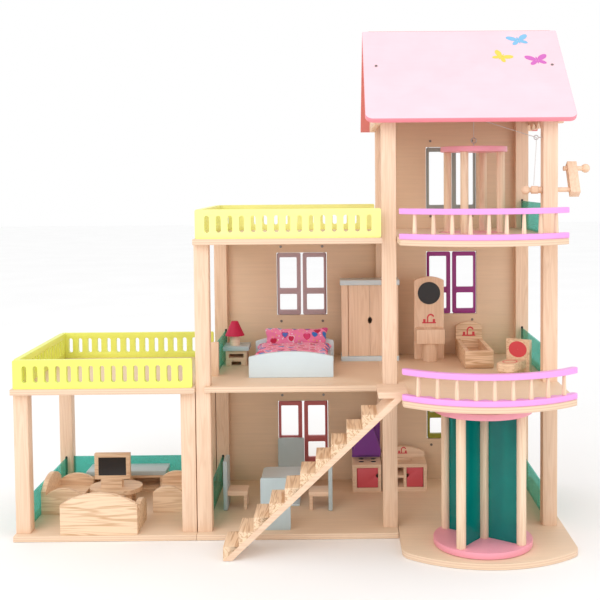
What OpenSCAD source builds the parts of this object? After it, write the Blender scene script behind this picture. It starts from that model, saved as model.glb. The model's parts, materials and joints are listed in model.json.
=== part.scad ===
// Wooden dollhouse: a two-storey middle section, a terrace wing on its left and a three-storey
// tower on its right, with stairs, a crank lift, a revolving door, hinged windows and furniture.
// Millimetres. +Z is up and +Y is the back. The origin is under the middle of the house base plate.

/* [House] */
// Width of the middle section's base plate
house_w = 334; // [300:1:420]
// Depth of the base plates, front to back
house_d = 317; // [300:1:400]
// Clear height of each storey
storey_h = 235; // [225:1:300]
// Thickness of the floors, walls and roof boards
ply_t = 9.5; // [8:0.5:12]
// Side of the square posts
post_w = 24; // [20:1:30]
// How far the front posts stand back from the front edge of the base plates
front_lip = 14; // [8:1:30]

/* [Terrace wing] */
// Width of the wing's base plate
wing_w = 302.5; // [280:0.5:380]
// Height of the terrace railings
railing_h = 48; // [36:1:70]
// Slots in each long railing board
railing_slots = 15; // [10:1:20]

/* [Tower] */
// Width over the tower's posts
tower_w = 292; // [280:1:360]
// Clear height of the top storey, up to the post tops
top_storey_h = 209.5; // [200:0.5:260]
// How far the tower's front posts stand back behind the house posts
tower_setback = 14; // [8:1:30]
// Radius of the bowed front edges
bow_r = 195; // [180:1:260]
// How far the ground plate reaches in front of the base plates
apron_reach = 143.5; // [130:0.5:180]
// How far the middle balcony reaches in front of the base plates
balcony_reach = 166.5; // [150:0.5:190]
// How far the top balcony reaches in front of the base plates
top_balcony_reach = 107.5; // [95:0.5:140]
// Height of the balcony rails
balcony_rail_h = 49; // [40:1:70]
// Balusters on each balcony
baluster_count = 9; // [7:1:13]

/* [Roof] */
// Slope of the roof panels in degrees
roof_pitch = 43; // [30:1:50]
// Length of each roof panel down the slope
roof_slope = 240.5; // [235:0.5:300]
// Width of the roof panels
roof_w = 345; // [330:1:420]

/* [Windows] */
// Width of each window opening
window_w = 97; // [80:1:110]
// Height of each window opening
window_h = 121; // [100:1:140]
// Thickness of a window leaf
leaf_t = 8; // [6:0.5:9]

/* [Stairs] */
// Width of the stairs
stairs_w = 70; // [50:1:80]
// Run of each step
step_run = 24.33; // [20:0.01:26]
// Rise of each step
step_rise = 22.9; // [20:0.1:26]
// Number of triangular steps
step_count = 10; // [8:1:10]

/* [Lift] */
// Radius of the lift's two discs
lift_r = 59; // [45:1:62]
// Height from the lift's floor to its top
lift_h = 161; // [120:1:170]
// Diameter of the lift's rods
lift_rod_d = 14; // [8:1:16]

/* [Revolving door] */
// Radius of the revolving door's discs
door_r = 79; // [60:1:80]
// Diameter of the revolving door's outer rods
door_rod_d = 15; // [8:1:16]

/* [Hidden] */
$fn = 48;

// Colours
pine = [0.94, 0.80, 0.67];
ply = [0.91, 0.78, 0.62];
roof_pink = [0.99, 0.80, 0.84];
salmon = [0.90, 0.53, 0.53];
violet = [0.96, 0.65, 0.95];
lime = [0.93, 0.93, 0.50];
teal = [0.00, 0.51, 0.47, 0.6];
steel = [0.75, 0.75, 0.77];
mauve = [0.66, 0.53, 0.56];
purple = [0.55, 0.22, 0.50];
red = [0.70, 0.30, 0.30];
olive = [0.55, 0.55, 0.15];
pink = [0.96, 0.62, 0.72];
grey = [0.75, 0.80, 0.82];
string_white = [0.95, 0.94, 0.92];
cloth_pink = [0.90, 0.35, 0.60];
cloth_blue = [0.86, 0.91, 0.94];

// Small numbers used in many places
eps = 0.01;
seat_gap = 0.3;
run_gap = 0.05;
cut_over = 1;

// Levels
floor_1 = ply_t;
floor_2 = floor_1 + storey_h + ply_t;
floor_3 = floor_2 + storey_h + ply_t;
under_2 = floor_2 - ply_t;
under_3 = floor_3 - ply_t;
post_top = floor_3 + top_storey_h;

// Outline in plan
half_w = house_w / 2;
half_d = house_d / 2;
wall_y = half_d - ply_t;
wall_mid_y = half_d - ply_t / 2;
back_post_y = half_d - post_w;
front_post_y = front_lip - half_d;
tower_post_y = front_post_y + tower_setback;
plate_gap = 0.5;
wing_x1 = -half_w - plate_gap;
wing_x0 = wing_x1 - wing_w;
wing_inset = 1;
floor_proud = 5.5;
tower_x0 = half_w - post_w;
tower_x1 = tower_x0 + tower_w;
tower_in0 = half_w;
tower_in1 = tower_x1 - post_w;

// Tower plates
apron_x0 = half_w + 1;
apron_x1 = tower_x1 + 11;
apron_corner = 30;
slab_x0 = half_w + 1;
slab_x1 = tower_x1 + 1;
slab_corner = 9;
slab_cx = (slab_x0 + slab_x1) / 2;
apron_front = -half_d - apron_reach;
balcony_front = -half_d - balcony_reach;
top_balcony_front = -half_d - top_balcony_reach;

// Railings
railing_inset = 4;
slot_w = 8;
slot_h = 28;
slot_end = 10;

// Windows
leaf_gap = 1;
leaf_meet = 4;
leaf_w = (window_w - 2 * leaf_gap - leaf_meet) / 2;
leaf_h = window_h - 2 * leaf_gap;
leaf_corner = 3;
pane_corner = 2;
pin_d = 2.5;
pin_bore_d = pin_d + 2 * run_gap;
pin_deep = 8;
low_sill = 35;
high_sill = 79;
tower_window_x = (tower_in0 + tower_in1) / 2;
stile_outer = 5;
stile_inner = 7.5;
rail_top = 8;
rail_bottom = 9;
rail_middle = 11;
pane_split = 0.66;

// Screws
screw_head_d = 4.8;
screw_head_h = 1;
screw_x = 40;
screw_off = 11.5;

// Balcony rails
rail_bar_t = 9;
rail_bar_w = 12;
rail_edge = 1.5;
rail_half_x = 129;
baluster_d0 = 7.5;
baluster_d1 = 5;
baluster_pitch = 27.75;
lobe_d = 16;

// Roof
ridge_y = 14;
panel_cut = 13;
gable_drop = 14;
gable_left_x = tower_x0 - ply_t;
gable_right_x = tower_x1;
roof_cx = (tower_x0 + tower_x1) / 2;
roof_x0 = roof_cx - roof_w / 2;
roof_screw_down = roof_slope * 0.42;
ridge_z = post_top + 148;
ridge_flat = ply_t / cos(roof_pitch);
beam_w = 16;
beam_z = post_top + 6;

// Stairs
stairs_y0 = -253;
stairs_x0 = -113.2;
stair_angle = atan(step_rise / step_run);
stair_ply_x = ply_t / sin(stair_angle);
landing_x0 = 131;
landing_x1 = 177;
stair_top_z = floor_2;

// Lift
lift_x = tower_window_x + 24;
lift_y = 0;
lift_disc_t = 9.5;
lift_rod_r = 49.5;
lift_rod_turn = 26.6;
lift_hole_r = lift_r + 4;
lift_top = under_3 + lift_h;
eye_r = 4.5;
eye_wire = 1.6;
eye_lift = 11;
hook_z = post_top - 5;
string_d = 1.2;
string_off = eye_r + eye_wire / 2 + seat_gap;
// Steps the string is swept with around its section
string_sides = 8;

// Winch
axle_y = tower_post_y + post_w / 2;
axle_z = floor_3 + 75.5;
axle_d = 8;
axle_bore_d = axle_d + 0.16;
ball_d = 15;
spool_x0 = tower_in1 - 18;
spool_x1 = tower_in1 - 7;
spool_d = 13;
bead_d = 11;
arm_x0 = tower_x1 + 22;
arm_w = 16;
arm_len = 60;
arm_reach = 41.5;
arm_tilt = 31.6;
handle_y = axle_y + arm_reach * sin(arm_tilt);
handle_z = axle_z + arm_reach * cos(arm_tilt);
handle_x1 = arm_x0 + arm_w + 9;
guide_z = axle_z + 87;
guide_x = tower_in1 - 10;

// Revolving door
door_x = tower_window_x + 10;
door_y = -208;
door_disc_t = 10;
door_z0 = floor_1 + 1;
door_z1 = under_2 - 9.5;
door_rod_r = 68.5;
door_turn = 37;
panel_t = 3;
batten_w = 10;
pivot_d = 8;
boss_d = 20;
pivot_deep = 6;

// The newel post at the open side of the upper floor
newel_x0 = -half_w + 15;
newel_w = 12.5;
newel_y = -53;
newel_over = 6;

// Acrylic side panels
panel_h = 52;
panel_groove = 4;

// Gable boards and their scallops
gable_half = 160;
tooth_pitch = 46;
tooth_r = 23;

// The string's route from the spool, in front of the guide eye and through it, to the hook
string_start = [spool_x0 + 4, axle_y, axle_z + spool_d / 2 + 1];
string_route = [
    string_start,
    [guide_x, axle_y - 3, guide_z - 8],
    [guide_x, axle_y - 2.5, guide_z - 2],
    [guide_x, axle_y, guide_z],
    [guide_x - 0.5, axle_y + 2.5, guide_z + 0.5],
    [guide_x - 30, axle_y + 42, guide_z + 14],
    [lift_x + 30, lift_y - 38, hook_z - 15],
    [lift_x + 3, lift_y - 4, hook_z - 3],
    [lift_x + 0.5, lift_y - 2, hook_z - 2]
];

// Bed
bed_x0 = -85;
bed_x1 = 61;
bed_y0 = -75;
bed_y1 = 91;
bed_board_t = 9.5;
bed_end_h = 35;

// Height of the short upright step at both ends of a board's arc
arc_step = 1;
bed_slat_z = floor_2 + 10;
bed_slat_t = 12;
bed_top = bed_slat_z + bed_slat_t;

// Wardrobe
robe_x0 = 76;
robe_x1 = 182;
robe_y0 = 82;
robe_y1 = 131;
robe_h = 152;
robe_board = 9;
robe_door_t = 8;
robe_side = 12;
robe_gap = 0.25;
robe_over = 2.5;
peg_d = 3;
peg_deep = 4;
robe_mid = (robe_x0 + robe_x1) / 2;
robe_door_w = robe_mid - robe_x0 - robe_side - 0.75;
door_play = 0.5;
hole_z = 67;

// Kitchen
cooker_x0 = 94;
cooker_x1 = 148;
cooker_y0 = 67;
cooker_y1 = 128;
sink_x0 = 150;
sink_x1 = 233;
sink_y0 = 69;
sink_y1 = 128;
unit_top = 61;
unit_t = 6;
unit_door_t = 6;
unit_floor = unit_t + 2;
unit_door_z = floor_1 + unit_floor + 0.5;
unit_door_h = unit_top - floor_1 - unit_floor - unit_t - 1;
cooker_pivot_x = cooker_x0 + unit_floor + 0.5 + unit_door_t / 2;
cooker_reach = cooker_x1 - unit_t - 0.5 - cooker_pivot_x;
sink_split = sink_x0 + 40;
sink_split_t = 5;
sink_pivot_x = sink_x1 - unit_t - 0.5 - unit_door_t / 2;
sink_reach = sink_pivot_x - sink_split - sink_split_t - 0.5;
plate_d = 10.5;
bowl_d = 34;
hood_d = 30;

// Bathroom
basin_x = 241;
basin_y0 = 62;
basin_y1 = 97;
basin_half = 26;
basin_low = 34;
basin_top = 61;
pedestal_r = 14;
mirror_r = 21;
bath_x0 = 296;
bath_x1 = 347;
bath_y0 = -10;
bath_y1 = 140;
bath_h = 32;
bath_wall = 8;
toilet_turn = -35;

// Dining room
chair_back_h = 88;
chair_seat_z = 25;
chair_seat_t = 8;
table_z = 46;
table_t = 8;

// Living room
seat_t = 9;
low_table_z = 23;
low_table_t = 8;
bench_h = 32;
bench_t = 8;
screen_w = 50;
screen_h = 33;

// ---------- shared shapes ----------

// A box from one corner to the opposite one
module block(x0, x1, y0, y1, z0, z1) {
    translate([x0, y0, z0])
        cube([x1 - x0, y1 - y0, z1 - z0]);
}

// A square with rounded corners
module round_rect(w, h, r) {
    translate([r, 0])
        square([w - 2 * r, h]);
    translate([0, r])
        square([w, h - 2 * r]);
    for (x = [r, w - r], y = [r, h - r])
        translate([x, y])
            circle(r);
}

// A flat outline drawn in X and Z, made a board that is t thick towards the back
module upright(t) {
    translate([0, t, 0])
        rotate([90, 0, 0])
            linear_extrude(t)
                children();
}

// A flat outline drawn in Y and Z, made a board that is t thick towards the right
module sideways(t) {
    rotate([90, 0, 90])
        linear_extrude(t)
            children();
}

// An upright slot with round ends
module obround(w, h) {
    translate([-w / 2, w / 2])
        square([w, h - w]);
    translate([0, w / 2])
        circle(w / 2);
    translate([0, h - w / 2])
        circle(w / 2);
}

// A plate outline with a bowed front edge and rounded front corners
module bowed_plate(x0, x1, y_front, y_back, corner) {
    half = (x1 - x0) / 2;
    mid = (x0 + x1) / 2;
    bow_y = y_front + bow_r;
    fillet_y = bow_y - sqrt(pow(bow_r - corner, 2) - pow(half - corner, 2));
    tangent_x = (half - corner) * bow_r / (bow_r - corner);
    translate([x0, fillet_y])
        square([2 * half, y_back - fillet_y]);
    for (s = [-1, 1])
        translate([mid + s * (half - corner), fillet_y])
            circle(corner);
    intersection() {
        translate([mid, bow_y])
            circle(bow_r, $fn = 96);
        translate([mid - tangent_x, y_front - cut_over])
            square([2 * tangent_x, fillet_y - y_front + cut_over]);
    }
}

// A pin or rod standing on z0
module rod(x, y, z0, z1, d) {
    translate([x, y, z0])
        cylinder(d = d, h = z1 - z0);
}

// A rod lying along X
module rod_x(x0, x1, y, z, d) {
    translate([x0, y, z])
        rotate([0, 90, 0])
            cylinder(d = d, h = x1 - x0);
}

// A small ring of wire standing in the X and Z plane
module wire_ring(r, wire) {
    rotate([90, 0, 0])
        rotate_extrude()
            translate([r, 0])
                circle(d = wire, $fn = 24);
}

// ---------- plates and posts ----------

module wing_base() {
    color(ply)
        block(wing_x0, wing_x1, -half_d, half_d, 0, floor_1);
}

module wing_roof() {
    color(ply)
        block(wing_x0, wing_x1, -half_d, half_d, under_2, floor_2);
}

module house_base() {
    color(ply)
        block(-half_w, half_w, -half_d, half_d, 0, floor_1);
}

module house_roof() {
    color(ply)
        block(-half_w, tower_x0, -half_d, half_d, under_3, floor_3);
}

module wing_posts() {
    color(pine)
        difference() {
            for (x = [wing_x0 + wing_inset, wing_x1 - wing_inset - post_w], y = [front_post_y, back_post_y])
                translate([x, y, floor_1])
                    cube([post_w, post_w, storey_h]);
            panel_shapes();
        }
}

module house_posts() {
    color(pine)
        difference() {
            union() {
                for (y = [front_post_y, back_post_y])
                    translate([-half_w, y, floor_1])
                        cube([post_w, post_w, under_3 - floor_1]);
                translate([newel_x0, newel_y, floor_2])
                    cube([newel_w, newel_w, panel_h + newel_over]);
            }
            house_floor_shape();
            panel_shapes();
        }
}

module house_floor_shape() {
    difference() {
        block(-half_w + 15, tower_x0, front_post_y - floor_proud, half_d, under_2, floor_2);
        translate([tower_x0 - eps, tower_post_y, under_2 - cut_over])
            cube([post_w, post_w, ply_t + 2 * cut_over]);
    }
}

module house_floor() {
    color(ply)
        house_floor_shape();
}

module tower_base() {
    color(ply)
        difference() {
            linear_extrude(ply_t)
                bowed_plate(apron_x0, apron_x1, apron_front, half_d, apron_corner);
            rod(door_x, door_y, floor_1 - pivot_deep, floor_1 + cut_over, pivot_d + 2 * run_gap);
        }
}

module tower_posts() {
    color(pine)
        difference() {
            union() {
                for (x = [tower_x0, tower_in1], y = [tower_post_y, back_post_y])
                    translate([x, y, floor_1])
                        cube([post_w, post_w, post_top - floor_1]);
            }
            rod_x(tower_in1 - cut_over, tower_x1 + cut_over, axle_y, axle_z, axle_bore_d);
            panel_shapes();
        }
}

// The plan of a tower floor: bowed in front, reaching between the posts on both sides
module tower_floor_plan(y_front) {
    difference() {
        union() {
            bowed_plate(slab_x0, slab_x1, y_front, half_d, slab_corner);
            translate([tower_x0, tower_post_y + post_w])
                square([post_w + 2, back_post_y - tower_post_y - post_w]);
        }
        for (y = [tower_post_y, back_post_y])
            translate([tower_in1, y])
                square([post_w + 2, post_w]);
    }
}

module tower_floor_2() {
    color(ply)
        difference() {
            translate([0, 0, under_2])
                linear_extrude(ply_t)
                    tower_floor_plan(balcony_front);
            rod(door_x, door_y, under_2 - cut_over, under_2 + pivot_deep, pivot_d + 2 * run_gap);
        }
}

module tower_floor_3() {
    color(ply)
        difference() {
            translate([0, 0, under_3])
                linear_extrude(ply_t)
                    tower_floor_plan(top_balcony_front);
            translate([lift_x, lift_y, under_3 - cut_over])
                cylinder(r = lift_hole_r, h = ply_t + 2 * cut_over, $fn = 96);
        }
}

// ---------- terrace railings ----------

// One railing board with slots, drawn from its left lower corner
module slotted_board(len, slots) {
    pitch = (len - 2 * slot_end) / slots;
    difference() {
        round_rect(len, railing_h, 3);
        for (i = [0 : slots - 1])
            translate([slot_end + (i + 0.5) * pitch, (railing_h - slot_h) / 2])
                obround(slot_w, slot_h);
    }
}

// Front, back and left boards around one terrace
module railing_set(x0, x1, z) {
    len = x1 - x0 - 2 * railing_inset;
    side = house_d - 2 * railing_inset - 2 * ply_t;
    for (y = [railing_inset - half_d, half_d - railing_inset - ply_t])
        translate([x0 + railing_inset, y, z])
            upright(ply_t)
                slotted_board(len, railing_slots);
    translate([x0 + railing_inset, railing_inset - half_d + ply_t, z])
        sideways(ply_t)
            slotted_board(side, railing_slots);
}

module terrace_railings() {
    color(lime) {
        railing_set(wing_x0, wing_x1, floor_2);
        railing_set(-half_w, tower_x0 + 2, floor_3);
    }
}

// ---------- walls ----------

// The opening of one window, its pin bores and screw pilot holes
module window_cut(x, sill) {
    translate([x - window_w / 2, wall_y - cut_over, sill])
        cube([window_w, ply_t + 2 * cut_over, window_h]);
    for (s = [-1, 1])
        translate([x + s * (window_w / 2 - leaf_gap - leaf_t / 2), wall_mid_y, sill - pin_deep])
            cylinder(d = pin_d, h = window_h + 2 * pin_deep, $fn = 24);
}

module house_walls() {
    color(ply)
        difference() {
            union() {
                block(-half_w + post_w, tower_x0, wall_y, half_d, floor_1, under_2);
                block(-half_w + post_w, tower_x0, wall_y, half_d, floor_2, under_3);
            }
            window_cut(0, floor_1 + low_sill);
            window_cut(0, floor_2 + high_sill);
        }
}

module tower_walls() {
    color(ply)
        difference() {
            union() {
                block(tower_in0, tower_in1, wall_y, half_d, floor_1, under_2);
                block(tower_in0, tower_in1, wall_y, half_d, floor_2, under_3);
                block(tower_in0, tower_in1, wall_y, half_d, floor_3, post_top);
            }
            window_cut(tower_window_x, floor_1 + high_sill);
            window_cut(tower_window_x, floor_2 + high_sill);
            window_cut(tower_window_x, floor_3 + low_sill);
        }
}

// ---------- windows ----------

// A left window leaf on its pivot, with two panes or one tall pane
module leaf(split) {
    body_w = leaf_w - leaf_t / 2;
    pane_w = leaf_w - stile_outer - stile_inner;
    pane_all = leaf_h - rail_top - rail_bottom;
    pane_low = (pane_all - rail_middle) * (1 - pane_split);
    difference() {
        intersection() {
            translate([-leaf_t / 2, -leaf_t / 2, 0])
                upright(leaf_t)
                    round_rect(leaf_w, leaf_h, leaf_corner);
            linear_extrude(leaf_h) {
                translate([0, -leaf_t / 2])
                    square([body_w, leaf_t]);
                circle(d = leaf_t);
            }
        }
        translate([stile_outer - leaf_t / 2, -leaf_t, rail_bottom])
            upright(2 * leaf_t) {
                if (split) {
                    round_rect(pane_w, pane_low, pane_corner);
                    translate([0, pane_low + rail_middle])
                        round_rect(pane_w, pane_all - pane_low - rail_middle, pane_corner);
                } else {
                    round_rect(pane_w, pane_all, pane_corner);
                }
            }
        for (z = [-cut_over, leaf_h - pin_deep])
            translate([0, 0, z])
                cylinder(d = pin_bore_d, h = pin_deep + cut_over, $fn = 24);
    }
}

// A leaf in its place: side -1 is the left leaf and 1 is the right one
module placed_leaf(x, sill, side, split) {
    translate([x + side * (window_w / 2 - leaf_gap - leaf_t / 2), wall_mid_y, sill + leaf_gap])
        mirror([side > 0 ? 1 : 0, 0, 0])
            leaf(split);
}

module house_lower_left() {
    color(red)
        placed_leaf(0, floor_1 + low_sill, -1, true);
}

module house_lower_right() {
    color(red)
        placed_leaf(0, floor_1 + low_sill, 1, true);
}

module house_upper_left() {
    color(mauve)
        placed_leaf(0, floor_2 + high_sill, -1, true);
}

module house_upper_right() {
    color(mauve)
        placed_leaf(0, floor_2 + high_sill, 1, true);
}

module tower_lower_left() {
    color(olive)
        placed_leaf(tower_window_x, floor_1 + high_sill, -1, true);
}

module tower_lower_right() {
    color(olive)
        placed_leaf(tower_window_x, floor_1 + high_sill, 1, true);
}

module tower_middle_left() {
    color(purple)
        placed_leaf(tower_window_x, floor_2 + high_sill, -1, true);
}

module tower_middle_right() {
    color(purple)
        placed_leaf(tower_window_x, floor_2 + high_sill, 1, true);
}

module tower_upper_left() {
    color(grey)
        placed_leaf(tower_window_x, floor_3 + low_sill, -1, false);
}

module tower_upper_right() {
    color(grey)
        placed_leaf(tower_window_x, floor_3 + low_sill, 1, false);
}

// The four pins of one window
module pins_at(x, sill) {
    for (s = [-1, 1], z = [sill - pin_deep, sill + window_h - pin_deep])
        translate([x + s * (window_w / 2 - leaf_gap - leaf_t / 2), wall_mid_y, z])
            cylinder(d = pin_d, h = 2 * pin_deep, $fn = 24);
}

module hinge_pins() {
    color(steel) {
        pins_at(0, floor_1 + low_sill);
        pins_at(0, floor_2 + high_sill);
        pins_at(tower_window_x, floor_1 + high_sill);
        pins_at(tower_window_x, floor_2 + high_sill);
        pins_at(tower_window_x, floor_3 + low_sill);
    }
}

// A round screw head lying flat on a wall's front face
module wall_screw(x, z) {
    translate([x, wall_y, z])
        rotate([90, 0, 0])
            cylinder(d = screw_head_d, h = screw_head_h, $fn = 24);
}

module window_screws(x, sill) {
    for (s = [-1, 1], z = [sill - screw_off, sill + window_h + screw_off])
        wall_screw(x + s * screw_x, z);
}

module screws() {
    color(steel) {
        window_screws(0, floor_1 + low_sill);
        window_screws(0, floor_2 + high_sill);
        window_screws(tower_window_x, floor_1 + high_sill);
        window_screws(tower_window_x, floor_2 + high_sill);
        window_screws(tower_window_x, floor_3 + low_sill);
        for (x = [gable_left_x + ply_t / 2, gable_right_x + ply_t / 2], s = [-1, 1])
            translate([x, ridge_y, ridge_z])
                rotate([s > 0 ? roof_pitch : -roof_pitch, 0, 0])
                    translate([0, -s * roof_screw_down, 0])
                        cylinder(d = screw_head_d, h = screw_head_h, $fn = 24);
    }
}

// ---------- acrylic panels ----------

// A clear panel standing on a floor between two posts, its ends in grooves
module side_panel(x, y0, y1, z) {
    block(x - panel_t / 2, x + panel_t / 2, y0 - panel_groove, y1 + panel_groove, z, z + panel_h);
}

module panel_shapes() {
    wing_post_x = wing_x0 + wing_inset + post_w / 2;
    side_panel(wing_post_x, front_post_y + post_w, back_post_y, floor_1);
    block(wing_x0 + wing_inset + post_w - panel_groove, wing_x1 - wing_inset - post_w + panel_groove,
        wall_y - panel_t, wall_y, floor_1, floor_1 + panel_h);
    side_panel(newel_x0 + newel_w / 2, newel_y + newel_w, back_post_y, floor_2);
    side_panel(-half_w + post_w / 2, front_post_y + post_w, back_post_y, floor_1);
    for (z = [floor_1, floor_2, floor_3])
        side_panel(tower_x1 - post_w / 2, tower_post_y + post_w, back_post_y, z);
}

module acrylic_panels() {
    color(teal)
        panel_shapes();
}

// ---------- roof ----------

// One roof panel, lying flat from the ridge towards the front, its top face at Z 0
module roof_panel() {
    translate([roof_x0, -roof_slope, -ply_t])
        linear_extrude(ply_t) {
            translate([0, panel_cut])
                square([roof_w, roof_slope - panel_cut]);
            translate([panel_cut, 0])
                square([roof_w - 2 * panel_cut, roof_slope]);
            for (x = [panel_cut, roof_w - panel_cut])
                translate([x, panel_cut])
                    circle(panel_cut);
        }
}

// Half of space on one side of the ridge, to mitre a panel
module ridge_side(s) {
    big = 2 * roof_slope;
    translate([roof_x0 - cut_over, s < 0 ? ridge_y - big : ridge_y, ridge_z - big])
        cube([roof_w + 2 * cut_over, big, big + ply_t]);
}

module roof_front() {
    color(roof_pink)
        intersection() {
            translate([0, ridge_y, ridge_z])
                rotate([roof_pitch, 0, 0])
                    roof_panel();
            ridge_side(-1);
        }
}

module roof_back() {
    color(salmon)
        intersection() {
            translate([0, ridge_y, ridge_z])
                rotate([-roof_pitch, 0, 0])
                    translate([0, roof_slope, 0])
                        roof_panel();
            ridge_side(1);
        }
}

// A gable board: a triangle under the roof with a scalloped lower edge

module gable_outline() {
    top = ridge_z - ridge_flat;
    low = post_top - 10;
    difference() {
        polygon([
            [ridge_y, top],
            [ridge_y - gable_half, top - gable_half * tan(roof_pitch)],
            [ridge_y - gable_half, low - gable_drop],
            [ridge_y + gable_half, low - gable_drop],
            [ridge_y + gable_half, top - gable_half * tan(roof_pitch)]
        ]);
        for (i = [-3 : 4])
            translate([ridge_y + (i - 0.5) * tooth_pitch, low - gable_drop - 8])
                circle(tooth_r - 5);
    }
}

module gable_trims() {
    color(pine) {
        for (x = [gable_left_x, gable_right_x])
            translate([x, 0, 0])
                sideways(ply_t)
                    gable_outline();
    }
}

module lift_beam() {
    color(pine)
        block(tower_x0, tower_x1, lift_y - beam_w / 2, lift_y + beam_w / 2, beam_z, beam_z + beam_w);
}

// ---------- balconies ----------

// An arc-shaped bar that follows the bowed front edge, with round ends
module arc_bar(y_front) {
    r_out = bow_r - rail_edge;
    r_in = r_out - rail_bar_w;
    r_mid = r_out - rail_bar_w / 2;
    half_turn = asin(rail_half_x / r_mid);
    reach = 2 * bow_r;
    translate([slab_cx, y_front + bow_r]) {
        intersection() {
            difference() {
                circle(r_out, $fn = 96);
                circle(r_in, $fn = 96);
            }
            polygon([
                [0, 0],
                [-reach * sin(half_turn), -reach * cos(half_turn)],
                [reach * sin(half_turn), -reach * cos(half_turn)]
            ]);
        }
        for (s = [-1, 1])
            translate([s * rail_half_x, -r_mid * cos(half_turn)])
                circle(d = rail_bar_w);
    }
}

// Centre of baluster i, as X from the middle
function baluster_x(i) = (i - (baluster_count - 1) / 2) * baluster_pitch;

module balcony_rail(y_front, z) {
    r_mid = bow_r - rail_edge - rail_bar_w / 2;
    translate([0, 0, z])
        linear_extrude(rail_bar_t) {
            arc_bar(y_front);
            for (i = [0 : baluster_count - 2]) {
                x = baluster_x(i + 0.5);
                translate([slab_cx + x, y_front + bow_r - sqrt(pow(r_mid - 3, 2) - x * x)])
                    circle(d = lobe_d);
            }
        }
    translate([0, 0, z + balcony_rail_h - rail_bar_t])
        linear_extrude(rail_bar_t)
            arc_bar(y_front);
}

module balcony_rails() {
    color(violet) {
        balcony_rail(balcony_front, floor_2);
        balcony_rail(top_balcony_front, floor_3);
    }
}

module baluster_row(y_front, z) {
    r_mid = bow_r - rail_edge - rail_bar_w / 2;
    for (i = [0 : baluster_count - 1]) {
        x = baluster_x(i);
        translate([slab_cx + x, y_front + bow_r - sqrt(r_mid * r_mid - x * x), z + rail_bar_t])
            cylinder(d1 = baluster_d0, d2 = baluster_d1, h = balcony_rail_h - 2 * rail_bar_t);
    }
}

module balusters() {
    color(pine) {
        baluster_row(balcony_front, floor_2);
        baluster_row(top_balcony_front, floor_3);
    }
}

// ---------- stairs ----------

module stair_board() {
    run = stair_top_z / tan(stair_angle);
    color(pine) {
        translate([0, stairs_y0, 0])
            upright(stairs_w)
                polygon([
                    [stairs_x0, 0],
                    [stairs_x0 + stair_ply_x, 0],
                    [slab_x0, (slab_x0 - stairs_x0 - stair_ply_x) * tan(stair_angle)],
                    [slab_x0, stair_top_z],
                    [stairs_x0 + run, stair_top_z]
                ]);
        block(landing_x0, landing_x1, stairs_y0, stairs_y0 + stairs_w, floor_2, floor_2 + ply_t);
    }
}

module stair_steps() {
    color(pine)
        translate([0, stairs_y0, 0])
            for (i = [0 : step_count - 1])
                translate([stairs_x0 + i * step_run, 0, i * step_rise])
                    upright(stairs_w)
                        polygon([[0, 0], [step_run, step_rise], [0, step_rise]]);
}

// ---------- lift ----------

// The four corners of a square of rods, turned about the centre
module four_rods(r, turn, z0, z1, d) {
    for (i = [0 : 3])
        rotate([0, 0, turn + 90 * i])
            rod(r, 0, z0, z1, d);
}

module lift_discs() {
    color(pink)
        translate([lift_x, lift_y, 0]) {
            translate([0, 0, under_3])
                cylinder(r = lift_r, h = lift_disc_t, $fn = 96);
            translate([0, 0, lift_top - lift_disc_t])
                cylinder(r = lift_r, h = lift_disc_t, $fn = 96);
        }
}

module lift_rods() {
    color(pine)
        translate([lift_x, lift_y, 0])
            four_rods(lift_rod_r, -lift_rod_turn, under_3 + lift_disc_t, lift_top - lift_disc_t, lift_rod_d);
}

module lift_eye() {
    color(steel)
        translate([lift_x, lift_y, 0]) {
            translate([0, 0, lift_top + eye_lift])
                wire_ring(eye_r, eye_wire);
            rod(0, 0, lift_top, lift_top + eye_lift - eye_r, eye_wire);
        }
}

module string_eyes() {
    color(steel) {
        translate([lift_x, lift_y, hook_z])
            wire_ring(eye_r, eye_wire);
        rod(lift_x, lift_y, hook_z + eye_r, beam_z, eye_wire);
        translate([guide_x, axle_y, guide_z])
            wire_ring(eye_r - 1, eye_wire);
        rod_x(guide_x + eye_r - 1, tower_in1, axle_y, guide_z, eye_wire);
    }
}

module lift_string() {
    color(string_white)
        rod(lift_x, lift_y, lift_top + eye_lift + string_off, hook_z - string_off, string_d);
}

// A tube of even width along a list of points
module string_tube(pts, d) {
    n = len(pts);
    function along(i) = pts[min(i + 1, n - 1)] - pts[max(i - 1, 0)];
    function unit(v) = v / norm(v);
    rings = [
        for (i = [0 : n - 1])
            let (t = unit(along(i)), a = unit(cross(t, [0.3, 1, 0.2])), b = cross(t, a))
            for (k = [0 : string_sides - 1])
                let (q = 360 * k / string_sides)
                pts[i] + d / 2 * (cos(q) * a + sin(q) * b)
    ];
    sides = [
        for (i = [0 : n - 2], k = [0 : string_sides - 1])
            let (k2 = (k + 1) % string_sides, o = i * string_sides)
            each [[o + k, o + k2, o + string_sides + k2], [o + k, o + string_sides + k2, o + string_sides + k]]
    ];
    first = [for (k = [0 : string_sides - 1]) string_sides - 1 - k];
    last = [for (k = [0 : string_sides - 1]) (n - 1) * string_sides + k];
    polyhedron(points = rings, faces = concat(sides, [first, last]));
}

module winch_string() {
    color(string_white)
        string_tube(string_route, string_d);
}

// ---------- winch ----------

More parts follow.
